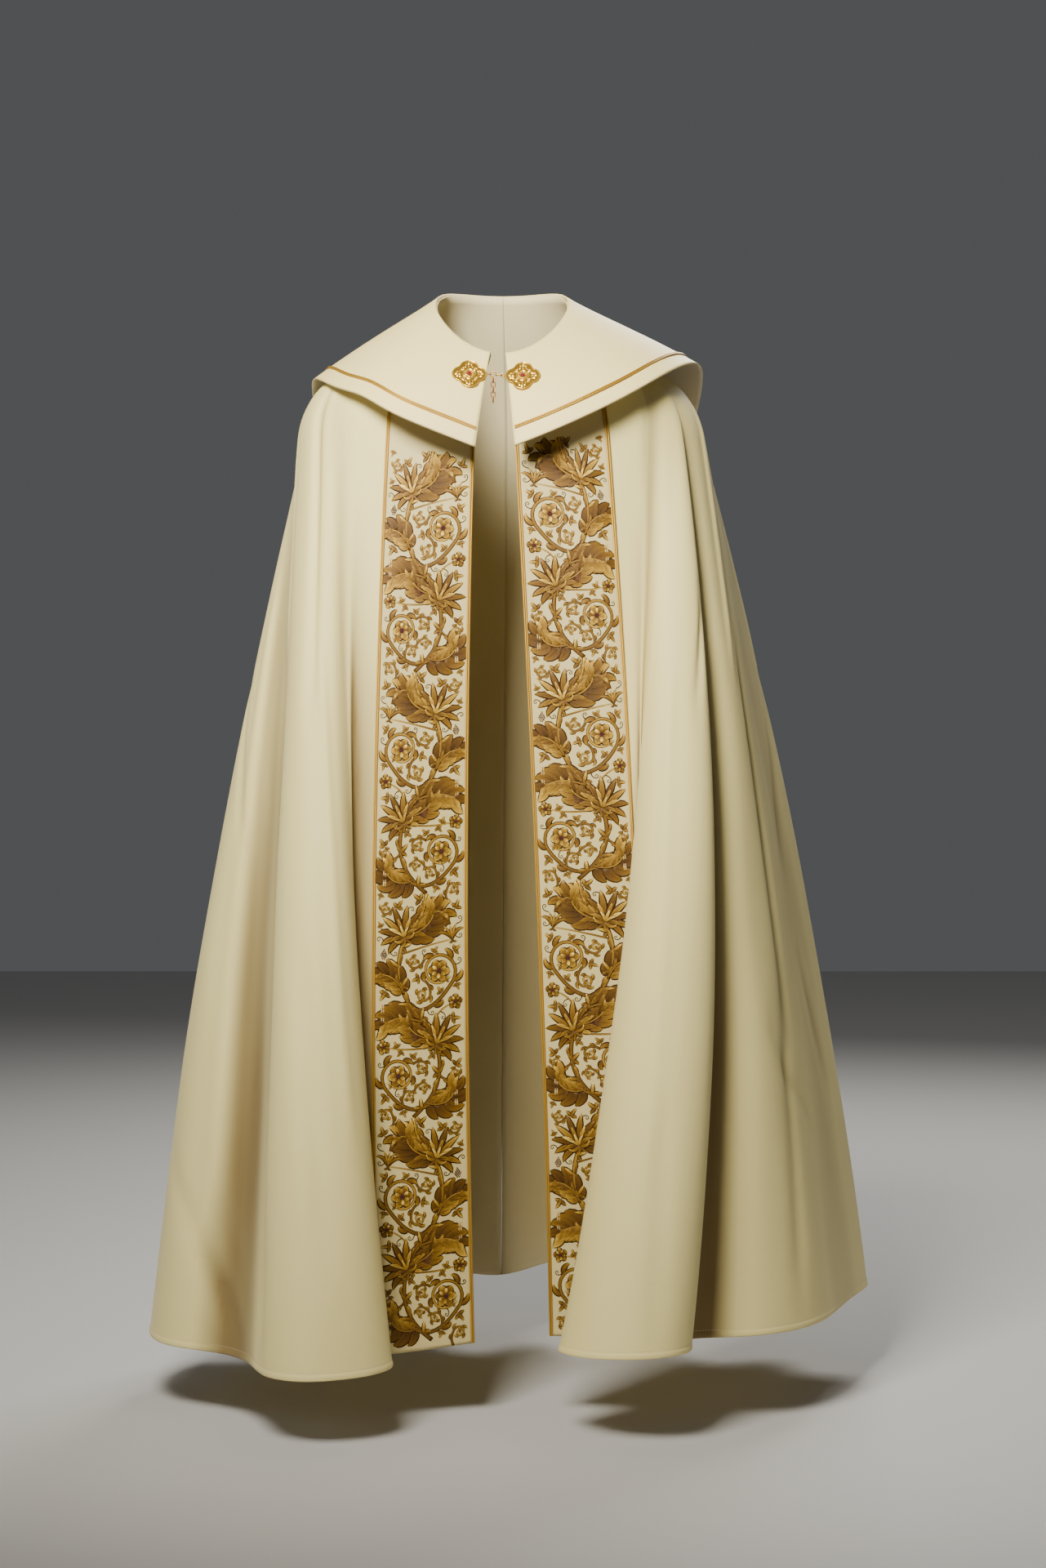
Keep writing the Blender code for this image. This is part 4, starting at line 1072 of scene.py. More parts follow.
class Drawing:
    """The strands of one repeat, the berries and the ears of wheat."""

    def __init__(self):
        self.strands = []
        self.berries = []
        self.grains = []
        self.random = np.random.default_rng(7)

    def add(self, path, half, tone, lift=0.0, plain=False):
        self.strands.append(Strand(path, np.asarray(half), tone, lift, plain))

    def stem(self, path, width, lift=0.0, tone=0.62, taper=0.45):
        share = np.linspace(0.0, 1.0, len(path))
        self.add(path, width / 2.0 * (1.0 - taper * share), tone, lift)

    def tendril(self, start, heading, length, curl):
        path = bent_path(start, heading, length, curl * 0.25, curl, 18)
        share = np.linspace(0.0, 1.0, len(path))
        self.add(path, TENDRIL_WIDTH / 2.0 * (1.0 - 0.3 * share), 0.2, 0.0, True)

    def lobe(self, start, heading, length, width, bend, tone, lift, fullness=0.75):
        """A leaf or petal: narrow at its start, fullest past its middle, with a blunt tip."""
        path = bent_path(start, heading, length, bend, bend * 0.6, 7)
        swell = np.sin(math.pi * np.linspace(0.0, 1.0, len(path)) ** fullness) ** 0.75
        half = width / 2.0 * (0.16 + 0.84 * swell)
        half[-1] = width * 0.06
        self.add(path, half, tone + self.random.uniform(-0.12, 0.12), lift)
        return path

    def acanthus(self, start, heading, length, width, bend, curl, lobes, tone):
        """A leaf with a midrib and pairs of broad lobes that point towards its tip."""
        rib = bent_path(start, heading, length, bend, curl, 16)
        for k, share in enumerate(np.linspace(0.08, 0.84, lobes)):
            at = int(round(share * 15))
            full = math.sin(math.pi * (0.20 + 0.62 * share)) ** 0.8
            for side in (-1, 1):
                reach = width * 0.74 * full * self.random.uniform(0.92, 1.08)
                aim = heading_at(rib, at) + side * (66.0 - 30.0 * share)
                shade = tone + (0.16 if side > 0 else -0.14)
                self.veined(rib[at], aim, reach, reach * 0.64, -side * 34.0, shade, 0.00010 * k)
        last = length * self.random.uniform(0.28, 0.34)
        self.veined(rib[12], heading_at(rib, 13), last, width * 0.36, bend * 0.4, tone + 0.2, 0.0005)
        share = np.linspace(0.0, 1.0, len(rib))
        self.add(rib, 0.0021 * (1.0 - 0.75 * share), tone + 0.24, 0.00070)

    def veined(self, start, heading, length, width, bend, tone, lift, fullness=0.75):
        """A lobe with a dark vein stitched on it."""
        path = self.lobe(start, heading, length, width, bend, tone, lift, fullness)
        rise = lift + min(RELIEF_OF_WIDTH * width / 2.0, RELIEF_MOST) + 0.00004
        self.add(path[1:6], VEIN_HALF, 0.1, rise, True)

    def palmette(self, start, heading, size, spread, petals, tone, lift):
        """A large open flower seen from the side: two rows of petals over a calyx."""
        rows = ((1.0, petals, 0.25, 0.0), (0.66, petals - 4, 0.20, 0.22))
        for row, (share, count, wide, brighter) in enumerate(rows):
            for k in range(count):
                place = (k / (count - 1)) * 2.0 - 1.0
                aim = heading + place * spread / 2.0 * share
                length = size * share * (1.0 - 0.26 * abs(place) ** 1.5)
                height = lift + 0.00022 + row * 0.00034 - 0.0001 * abs(place)
                shade = tone + brighter + (0.10 if k % 2 else -0.10)
                self.veined(start, aim, length, size * wide, place * 34.0, shade, height, 1.1)
        calyx = (
            (128.0, 0.40, 0.17, -70.0, 0.1, 0.0006),
            (168.0, 0.30, 0.13, -30.0, 0.0, 0.0007),
            (22.0, 0.34, 0.14, 30.0, 0.35, 0.0009),
        )
        self.pairs(start, heading, size, calyx, tone, lift)
        self.lobe(start, heading, size * 0.40, size * 0.16, 0.0, tone + 0.4, lift + 0.00105)

    def pairs(self, start, heading, size, lobes, tone, lift, fullness=(0.75, 0.75, 0.75)):
        """Lobes to the right and the left: aim, length, width, bend, more tone, more lift."""
        for side in (-1, 1):
            for (aim, long, wide, bend, more, rise), full in zip(lobes, fullness):
                way = heading + side * aim
                self.lobe(start, way, size * long, size * wide, side * bend, tone + more, lift + rise, full)

    def rosette(self, middle, radius, petals, turn, tone, lift):
        """A round flower with broad petals round a beaded middle."""
        middle = np.asarray(middle)
        for ring, (reach, wide, more) in enumerate(((1.0, 0.88, 0.0), (0.62, 0.52, 0.22))):
            for k in range(petals):
                aim = turn + 360.0 * (k + 0.5 * ring) / petals
                start = middle + direction(aim) * radius * 0.14
                height = lift + 0.0002 + ring * 0.0003 + 0.00003 * k
                shade = tone + more + (0.08 if k % 2 else -0.08)
                self.veined(start, aim, radius * reach * 0.86, radius * wide, 0.0, shade, height, 1.25)
        for k in range(7):
            out = radius * 0.15 if k < 6 else 0.0
            spot = middle + out * direction(60.0 * k)
            self.berries.append(Seed(spot, UPWARDS, radius * 0.085, lift + 0.0010))

    def lily(self, start, heading, size, tone, lift):
        """A trumpet flower in profile, with a slim tube, flared tips and a small calyx."""
        flares = (
            (16.0, 1.0, 0.26, 62.0, -0.05, 0.0002),
            (9.0, 0.90, 0.22, 22.0, 0.1, 0.0004),
            (150.0, 0.26, 0.12, -60.0, -0.1, 0.0006),
        )
        self.pairs(start, heading, size, flares, tone, lift, (0.9, 0.75, 0.75))
        self.lobe(start, heading, size * 0.82, size * 0.20, 0.0, tone + 0.3, lift + 0.0006)
        self.lobe(start, heading, size * 0.42, size * 0.17, 0.0, tone, lift + 0.0008)

    def trefoil(self, start, heading, size, tone, lift):
        """A small bud of three lobes."""
        self.pairs(start, heading, size, ((58.0, 0.72, 0.42, 30.0, 0.0, 0.0),), tone, lift)
        self.lobe(start, heading, size, size * 0.46, 0.0, tone + 0.22, lift + 0.0002)

    def curl(self, start, middle, room, side, flower=0.0):
        """A stem that leaves start and winds round a place to a bud or a flower."""
        start, middle = np.asarray(start), np.asarray(middle)
        way = (middle - start) / np.linalg.norm(middle - start)
        beside = left_of(way) * side
        ring = (0.78 if flower else 0.66) * room
        first = middle + beside * ring
        handle = 0.4 * np.linalg.norm(first - start)
        leave = start + (0.4 * way + 0.8 * beside) * handle
        lead = bezier(start, leave, first - way * handle, first, np.linspace(0.0, 1.0, 8)[:-1, None])
        heading = heading_of(way)
        turns, inner = (0.95, 0.62) if flower else (1.12, 0.26)
        path = np.concatenate([lead, spiral_path(first, heading, ring, turns, -side, 20, inner)])
        self.stem(path, 0.0024 + 0.12 * room, 0.0001, 0.54, 0.36)
        last = len(path) - 1
        if flower:
            self.rosette(middle, flower, 6, heading, 0.50, 0.0003)
        self.trefoil(path[last], heading_at(path, last), ring * (0.36 if flower else 0.80), 0.56, 0.0004)
        for k, size in ((3, 0.50), (7, 0.60), (11, 0.56), (15, 0.48), (19, 0.40)):
            aim = heading_at(path, k) + side * 46.0
            self.lobe(path[k], aim, 0.0020 + room * size, 0.0014 + room * 0.26, -side * 60.0, 0.48, 0.0002)

    def leaf_spray(self, start, middle, room, side):
        """Three leaves on a short stem that reach into a bare place."""
        way = (middle - start) / np.linalg.norm(middle - start)
        heading = heading_of(way)
        foot = middle - way * room * 0.75
        self.stem(np.linspace(start, foot, 4), 0.0024, 0.0, 0.5, 0.2)
        for aim, size, shade in ((-52.0, 1.25, 0.44), (52.0, 1.15, 0.50), (0.0, 1.70, 0.62)):
            bend = (12.0 if aim == 0.0 else math.copysign(34.0, aim)) * side
            self.lobe(foot, heading + aim * side, room * size, room * 0.78, bend, shade, 0.0002)

    def berry_bunch(self, middle, heading, size):
        """Small dark berries in a tapering bunch."""
        way = direction(heading)
        beside = left_of(way)
        for row, count in enumerate((2, 3, 4, 3, 2, 1)):
            for k in range(count):
                off = (k - (count - 1) / 2.0) * size * 2.3
                spot = np.asarray(middle) + way * row * size * 2.1 + beside * off
                self.berries.append(Seed(spot, UPWARDS, size * self.random.uniform(0.85, 1.05), 0.0002))

    def wheat_ear(self, start, heading, length, bend):
        """A thin stalk with pale grains on both sides."""
        path = bent_path(start, heading, length, bend, 0.0, 12)
        self.add(path, np.full(12, 0.0004), 0.6, 0.0, True)
        for k in range(2, 12):
            for side in (-1, 1):
                way = direction(heading_at(path, k) + side * 26.0)
                spot = path[k] + way * 0.0018 + left_of(way) * side * 0.0006
                self.grains.append(Seed(spot, way, 0.0022, 0.0002))


def draw_repeat():
    """One repeat of the embroidery, which the next one mirrors."""
    d = Drawing()
    stalk = through_points(STALK, 64)
    d.stem(stalk, 0.0062, 0.0001, 0.54, 0.0)
    for k in range(3, 62, 5):
        side = 1 if k % 2 else -1
        d.trefoil(stalk[k], heading_at(stalk, k) + side * 52.0, 0.0150, 0.46, 0.0002)
        d.lobe(stalk[k + 1], heading_at(stalk, k) - side * 40.0, 0.0150, 0.0058, side * 50.0, 0.52, 0.0003)
    d.curl(stalk[3], (-0.030, 0.054), 0.0300, 1, 0.0150)
    d.curl(stalk[31], (0.027, 0.187), 0.0310, -1, 0.0155)
    d.curl(stalk[13], (0.047, 0.052), 0.0125, -1)
    d.curl(stalk[43], (-0.046, 0.180), 0.0130, 1)
    d.acanthus(stalk[5], -24.0, 0.052, 0.042, 84.0, 40.0, 5, 0.40)
    d.acanthus(stalk[27], 158.0, 0.062, 0.042, 30.0, 50.0, 6, 0.42)
    d.acanthus(stalk[22], 176.0, 0.048, 0.034, -44.0, -40.0, 5, 0.38)
    d.acanthus(stalk[36], 112.0, 0.052, 0.038, 54.0, 40.0, 5, 0.40)
    d.acanthus(stalk[51], 12.0, 0.058, 0.042, 40.0, 60.0, 6, 0.42)
    d.acanthus(stalk[56], 40.0, 0.042, 0.034, -40.0, -60.0, 4, 0.38)
    d.palmette((0.022, 0.092), 62.0, 0.043, 176.0, 9, 0.40, 0.0003)
    d.palmette((-0.020, 0.232), 112.0, 0.043, 176.0, 9, 0.42, 0.0003)
    d.rosette((0.049, 0.146), 0.0105, 5, 12.0, 0.46, 0.0003)
    d.rosette((-0.050, 0.092), 0.0100, 5, 30.0, 0.44, 0.0003)
    d.lily((0.046, 0.226), 100.0, 0.024, 0.48, 0.0002)
    d.stem(through_points([stalk[24], (0.028, 0.134), (0.049, 0.146)], 12), 0.0032)
    d.stem(through_points([stalk[20], (-0.024, 0.088), (-0.050, 0.092)], 12), 0.0032)
    d.stem(through_points([stalk[46], (0.020, 0.222), (0.046, 0.227)], 12), 0.0030)
    d.berry_bunch((-0.004, 0.098), 120.0, 0.0012)
    d.berry_bunch((-0.050, 0.206), 84.0, 0.0011)
    d.wheat_ear((-0.052, 0.118), 84.0, 0.028, 10.0)
    d.wheat_ear((0.050, 0.006), 98.0, 0.026, -12.0)
    fill_gaps(d)
    return d


def with_neighbours(points):
    """The points of one repeat, of the one above it and of the one below."""
    turned = points * np.array([-1.0, 1.0])
    step = np.array([0.0, REPEAT])
    return np.concatenate([points, turned + step, turned - step])


def fill_gaps(d):
    """Grows curls, leaves and tendrils into the bare places, the largest first."""
    across = np.arange(-FILL_EDGE, FILL_EDGE, FILL_STEP)
    spots = np.stack(np.meshgrid(across, np.arange(0.0, REPEAT, FILL_STEP)), axis=-1).reshape(-1, 2)
    seeds = np.array([seed.spot for seed in d.berries + d.grains])
    drawn = with_neighbours(np.concatenate([strand.path for strand in d.strands] + [seeds]))
    half = np.concatenate([strand.half for strand in d.strands] + [np.full(len(seeds), 0.0015)])
    half = np.tile(half, 3)
    room = FILL_EDGE - np.abs(spots[:, 0])
    root = np.empty_like(spots)
    for k, spot in enumerate(spots):
        clear = np.linalg.norm(drawn - spot, axis=1) - half
        nearest = int(np.argmin(clear))
        root[k] = drawn[nearest]
        room[k] = min(room[k], clear[nearest])
    while room.max() > TENDRIL_ROOM:
        k = int(np.argmax(room))
        free = min(float(room[k]), CURL_MOST)
        spot, start = spots[k].copy(), root[k].copy()
        side = 1 if d.random.random() < 0.5 else -1
        if free > CURL_ROOM:
            d.curl(start, spot, free, side)
        elif free > LEAF_ROOM:
            d.leaf_spray(start, spot, free, side)
        else:
            d.tendril(start, heading_of(spot - start) - side * 30.0, 4.6 * free, side * 330.0)
        for copy in with_neighbours(spot[None]):
            away = spots - copy
            far = np.linalg.norm(away, axis=1)
            nearer = far - free < room
            room[nearer] = (far - free)[nearer]
            root[nearer] = (copy + away / np.maximum(far, 1e-6)[:, None] * free * 0.6)[nearer]


def strand_points(strand):
    """Rings of points round a strand: flat places, heights, coordinates and shades."""
    path, half = strand.path, strand.half
    ahead = np.gradient(path, axis=0)
    ahead = ahead / np.maximum(np.linalg.norm(ahead, axis=1), 1e-9)[:, None]
    beside = np.column_stack([-ahead[:, 1], ahead[:, 0]])
    length = np.concatenate([[0.0], np.cumsum(np.linalg.norm(np.diff(path, axis=0), axis=1))])
    if strand.plain:
        offsets = np.array([-1.0, 0.0, 1.0])[None, :] * half[:, None]
        rise = np.array([0.0, 1.0, 0.0])[None, :] * half[:, None] * 0.9
    else:
        edge = np.minimum(OUTLINE, half * 0.45)
        rim, inside = half - edge / 2.0, half - edge
        zero = np.zeros_like(half)
        offsets = np.stack([-half, -rim, -inside, zero, inside, rim, half], axis=1)
        crown = np.minimum(RELIEF_OF_WIDTH * half + 0.0002, RELIEF_MOST)
        cord = np.minimum(0.00032, half * 0.3)
        low = cord * 0.55
        rise = np.stack([zero, cord, low, crown, low, cord, zero], axis=1)
    height = np.where(rise > 0.0, rise + strand.lift, -0.00012)
    flat = path[:, None, :] + beside[:, None, :] * offsets[..., None]
    share = length / max(length[-1], 1e-9)
    tone = np.broadcast_to((strand.tone - 0.26 + 0.50 * share)[:, None], offsets.shape)
    uv = np.stack([offsets, np.broadcast_to(length[:, None], offsets.shape)], axis=2)
    return flat, height, uv, tone


def mirror_of(number):
    """Every second repeat is mirrored from side to side."""
    return np.array([1.0 if number % 2 == 0 else -1.0, 1.0])


def on_band(number, flat):
    """Points of the drawing, moved to where that repeat lies on the band."""
    foot = np.array([ORPHREY_WIDTH / 2.0, EMBROIDERY_FOOT + number * REPEAT])
    return flat * mirror_of(number) + foot


def embroidery_arrays(repeat):
    """All repeats of the drawing as flat points with heights, and faces for gold and brown."""
    flats, heights, uvs, tones, faces, paints = [], [], [], [], [], []
    total = 0
    for number in range(REPEATS):
        mirrored = number % 2 == 1
        for strand in repeat.strands:
            if number * REPEAT + strand.path[:, 1].max() > EMBROIDERY_TOP:
                continue
            flat, height, uv, tone = strand_points(strand)
            steps, ring = height.shape
            index = total + np.arange(steps * ring).reshape(steps, ring)
            a, b = index[:-1], index[1:]
            quads = np.stack([a, b, np.roll(b, -1, axis=1), np.roll(a, -1, axis=1)], axis=2)
            caps = np.stack([index[0], index[-1][::-1]])
            if mirrored:
                quads, caps = quads[..., ::-1], caps[:, ::-1]
            faces += quads.reshape(-1, 4).tolist() + caps.tolist()
            paint = np.ones((steps - 1, ring), dtype=np.int32)
            if not strand.plain:
                paint[:, 2:4] = 0
            paints += paint.ravel().tolist() + [1, 1]
            flats.append(on_band(number, flat).reshape(-1, 2))
            heights.append(height.ravel())
            uvs.append(uv.reshape(-1, 2))
            tones.append(tone.ravel())
            total += steps * ring
    return (*(np.concatenate(parts) for parts in (flats, heights, uvs, tones)), faces, paints)


def build_embroidery(band, repeat, arrays, looks):
    """The drawing laid on one orphrey: shaded gold fillings in brown outlines."""
    flat, height, uv, tone, faces, paints = arrays
    points = band.at(flat[:, 0], flat[:, 1], ORPHREY_FACE + height)
    if band.side == "right":
        faces = [face[::-1] for face in faces]
    name = f"embroidery_{band.side}"
    mesh = new_mesh(name, points, (), faces, [looks["gold_thread"], looks["brown_thread"]])
    mesh.polygons.foreach_set("material_index", np.array(paints, dtype=np.int32))
    set_uv(mesh, uv)
    set_points(mesh, "tone", tone)
    add_piece(name, mesh)
    sow(band, "berries", repeat.berries, 1.0, looks["berry"])
    sow(band, "wheat", repeat.grains, 2.8, looks["wheat"])


def sow(band, kind, seeds, slimness, look):
    """Every repeat's berries or grains, on the band."""
    name = f"embroidery_{kind}_{band.side}"
    sown = [
        (number, seed)
        for number in range(REPEATS)
        for seed in seeds
        if seed.spot[1] + number * REPEAT < EMBROIDERY_TOP
    ]
    u, t = np.array([on_band(number, seed.spot) for number, seed in sown]).T
    aim = np.array([seed.way * mirror_of(number) for number, seed in sown]) * 0.002
    sizes = np.array([seed.size for number, seed in sown])
    heights = ORPHREY_FACE + np.array([seed.lift for number, seed in sown])
    points = band.at(u, t, heights)
    aims = band.at(u + aim[:, 0], t + aim[:, 1], heights) - points
    mesh = grown_beads(name, points, aims, sizes * 1000.0, 0.001, slimness, look)
    add_piece(name, mesh)


# Collar
def collar_grid(columns, rows):
    """The surface that the lining rests on. Each row takes the length from neck to edge."""
    neck_deg = np.array([line.neck_deg for line in COLLAR_LINES])
    edge = np.array([(line.x, line.y, line.z) for line in COLLAR_LINES])
    degrees = np.interp(columns, np.linspace(0.0, 1.0, len(neck_deg)), neck_deg)
    outer = smooth_through(neck_deg, edge, degrees)
    neck = neck_ring(degrees)
    chord = outer - neck
    length = np.linalg.norm(chord, axis=1)
    turn = np.radians(degrees)
    sideways = np.stack([np.cos(turn), -np.sin(turn), np.zeros_like(turn)], axis=-1)
    bulge_way = np.cross(chord, sideways)
    bulge_way = bulge_way / np.linalg.norm(bulge_way, axis=1)[:, None]
    bulge = by_direction(degrees, COLLAR_FRONT_BULGE, COLLAR_SIDE_BULGE, COLLAR_BACK_BULGE)
    push = bulge_way * (bulge * length)[:, None]
    grid, stand = [], []
    for row in rows:
        share = (row(length) / length)[:, None]
        grid.append(bezier(neck, neck + chord / 3 + push, neck + chord * 2 / 3 + push, outer, share))
        stand.append(COLLAR_NECK_GAP + COLLAR_STAND * 4.0 * share * (1.0 - share))
    grid = np.array(grid)
    return grid + grid_normals(grid) * np.array(stand)


def share_rows(count):
    """Rows at even shares of the way from the neck to the outer edge."""
    return [lambda length, part=part: part * length for part in np.linspace(0.0, 1.0, count)]


def edge_rows(insets):
    """Rows at these distances inside the outer edge."""
    return [lambda length, inset=inset: length - inset for inset in insets]


def collar_surface(columns, rows):
    """The collar's rest surface with its soft unevenness, and its normals."""
    rest = collar_grid(columns, rows)
    normals = grid_normals(rest)
    share = np.linspace(0.0, 1.0, len(rows))[:, None]
    across = columns[None, :]
    wave = np.sin(23.0 * across + 2.0 * share) + 0.6 * np.sin(51.0 * across - 3.0 * share)
    wave = wave * 0.0005 * eased(share * 1.6) + 0.0005
    return rest + normals * wave[..., None], normals


def build_collar(looks):
    """The broad collar, its lining, and the two gold cords that follow its outer edge."""
    columns = np.linspace(0.0, 1.0, COLLAR_COLUMNS + 1)
    rest, normals = collar_surface(columns, share_rows(COLLAR_ROWS))
    down = run_down(rest)
    uv = np.stack([np.broadcast_to(columns * COLLAR_RUN, down.shape), down], axis=2)
    layers = (
        ("collar_satin_shell", "collar", COLLAR_FACE, LINING_CLOTH + SEAM_GAP, "collar_satin", "collar"),
        ("collar_lining_shell", "lining", LINING_CLOTH, 0.0, "collar_lining", "collar_lining"),
    )
    for name, look, over, under, slot, node in layers:
        mesh = wall_mesh(name, rest + normals * over, rest + normals * under, uv, [looks[look]])
        piece = add_piece(name, mesh, [node])
    along = np.linspace(0.002, 0.998, 500)
    lines = []
    for share in CORD_SHARES:
        inset = COLLAR_BRAID_INSET + BRAID_WIDTH * share
        rest, out = collar_surface(along, edge_rows((inset + 0.001, inset, inset - 0.001)))
        lines.append(rest[1] + out[1] * (COLLAR_FACE + BRAID_CORD * 0.9))
    mesh = grown_cord("collar_braid_cords", lines, BRAID_CORD, BRAID_STEP, 8, looks["braid"])
    add_piece("collar_braid_cords", mesh, ["collar_braid"])


# Clasp
def plate_frame(x, z):
    """Where a clasp plate lies: its middle, and its right, up and outward directions."""
    rest = collar_grid(np.linspace(0.0, 1.0, 321), share_rows(34))
    out_of = grid_normals(rest)
    points, normals = (rest + out_of * COLLAR_FACE).reshape(-1, 3), out_of.reshape(-1, 3)
    front = points[:, 1] < 0.0
    points, normals = points[front], normals[front]
    nearest = np.argmin((points[:, 0] - x) ** 2 + (points[:, 2] - z) ** 2)
    out = Vector(normals[nearest])
    right = Vector((0.0, 0.0, 1.0)).cross(out).normalized()
    up = out.cross(right)
    middle = Vector(points[nearest])
    away = points - np.array(middle)
    reach = np.linalg.norm(away, axis=1) < PLATE_HALF_WIDTH * 1.05
    proud = (away[reach] @ np.array(out)).max()
    middle = middle + out * (float(proud) + SEAM_GAP)
    return [np.array(part) for part in (middle, right, up, out)]


def on_plate(place, across, along, height):
    """Points that far right, up and out from a clasp plate's middle."""
    middle, right, up, out = place
    across, along, height = (np.asarray(part)[..., None] for part in (across, along, height))
    return middle + across * right + along * up + height * out


def plate_outline(turn):
    """A lozenge with a round lobe at each corner and a small one on each side."""
    swell = 0.090 * np.cos(4.0 * turn) - 0.020 * np.cos(8.0 * turn) + 0.010 * np.cos(12.0 * turn)
    return 0.905 + swell


def knob(x, y, at_x, at_y, size):
    return np.exp(-(((x - at_x) ** 2 + (y - at_y) ** 2) / size**2))


def plate_relief(turn, share):
    """Height of the front: rim, rings at the stone, four leaf fans, and scrolls between them."""
    x, y = share * np.cos(turn), share * np.sin(turn)
    height = np.zeros_like(x)
    for tall, at, width in PLATE_RINGS:
        height += tall * ridge(share, at, width)
    for k in range(4):
        aim = math.pi / 2.0 * k
        for off, reach, size, tall in PLATE_LEAVES:
            leaf_x, leaf_y = reach * math.cos(aim + off), reach * math.sin(aim + off)
            height += 0.0011 * tall * knob(x, y, leaf_x, leaf_y, size)
        between = aim + math.pi / 4.0
        centre_x, centre_y = 0.60 * math.cos(between), 0.60 * math.sin(between)
        height += 0.0009 * ridge(np.hypot(x - centre_x, y - centre_y), 0.105, 0.032)
        height += 0.0007 * knob(x, y, centre_x, centre_y, 0.040)
    return height + 0.00018 * np.cos(24.0 * turn + 9.0 * share) * ridge(share, 0.66, 0.2)


def build_plate(side, place, looks):
    """One gilt plate, closed behind, with beads round its stone."""
    spokes, rings = 144, 54
    turn = np.arange(spokes) * 2.0 * math.pi / spokes
    share = np.linspace(0.02, 1.0, rings)[:, None]
    reach = plate_outline(turn)[None, :] * share
    relief = plate_relief(turn[None, :], share)
    across, along = PLATE_HALF_WIDTH * reach * np.cos(turn), PLATE_HALF_HEIGHT * reach * np.sin(turn)
    front = on_plate(place, across, along, PLATE_BASE + relief)
    back = on_plate(place, across[-1] * 0.985, along[-1] * 0.985, 0.0)
    middles = on_plate(place, 0.0, 0.0, np.array([PLATE_BASE, 0.0]))
    points = np.concatenate([front.reshape(-1, 3), back, middles])
    index = np.arange((rings + 1) * spokes).reshape(rings + 1, spokes)
    ahead = np.roll(index, -1, axis=1)
    faces = np.stack([index[:-1], index[1:], ahead[1:], ahead[:-1]], axis=2).reshape(-1, 4).tolist()
    top, under = len(points) - 2, len(points) - 1
    faces += [(top, int(index[0, k]), int(ahead[0, k])) for k in range(spokes)]
    faces += [(int(index[-1, k]), under, int(ahead[-1, k])) for k in range(spokes)]
    name = f"clasp_ornament_{side}"
    mesh = new_mesh(name, points, (), faces, [looks["gold"]])
    set_points(mesh, "tone", np.append(np.clip(relief / 0.0010, 0.0, 1.0).ravel(), np.ones(spokes + 2)))
    add_piece(name, mesh, [f"clasp_plate_{side}"])
    turn = np.arange(BEADS) * 2.0 * math.pi / BEADS
    across = PLATE_HALF_WIDTH * BEAD_RING * np.cos(turn)
    along = PLATE_HALF_HEIGHT * BEAD_RING * np.sin(turn)
    beads = on_plate(place, across, along, PLATE_BASE + 0.0005)
    aims = np.tile(place[3], (BEADS, 1))
    name = f"clasp_beads_{side}"
    mesh = grown_beads(name, beads, aims, np.ones(BEADS), 0.00075, 1.0, looks["wire"])
    add_piece(name, mesh)


def build_stone(side, place, looks):
    """A round stone cut with a table and two rows of facets."""
    sides = STONE_SIDES
    spots = [(0.0, 0.0, 0.0004)]
    for radius, height, shift in STONE_RINGS:
        for k in range(sides):
            turn = 2.0 * math.pi * (k + shift) / sides
            spots.append((radius * math.cos(turn), radius * math.sin(turn), height))
    spots.append((0.0, 0.0, 0.0028))
    across, along, height = np.array(spots).T
    points = on_plate(place, across, along, height + PLATE_BASE + 0.0002)
    faces, top = [], len(points) - 1
    for k in range(sides):
        n = (k + 1) % sides
        faces.append((0, 1 + n, 1 + k))
        for ring in range(3):
            a, b = 1 + ring * sides, 1 + (ring + 1) * sides
            faces.append((a + k, a + n, b + n))
            faces.append((a + k, b + n, b + k))
        faces.append((1 + 3 * sides + k, 1 + 3 * sides + n, top))
    name = f"clasp_garnet_{side}"
    mesh = new_mesh(name, points, (), faces, [looks["stone"]])
    add_piece(name, mesh, [f"clasp_stone_{side}"], smooth=False)


def loop_line(middle, along, side, radius, stretch):
    """Points round a closed loop, stretched along along."""
    along, side = np.array(along.normalized()), np.array(side.normalized())
    turn = 2.0 * math.pi * (np.arange(40) + 0.5) / 40
    way = along * np.cos(turn)[:, None] + side * np.sin(turn)[:, None]
    end = along * np.copysign(stretch / 2.0, np.cos(turn))[:, None]
    return np.array(middle) + end + way * radius


def build_loops(name, lines, wire, look, replaced):
    add_piece(name, grown_cord(name, lines, wire, 0.0005, 10, look, closed=True), replaced)


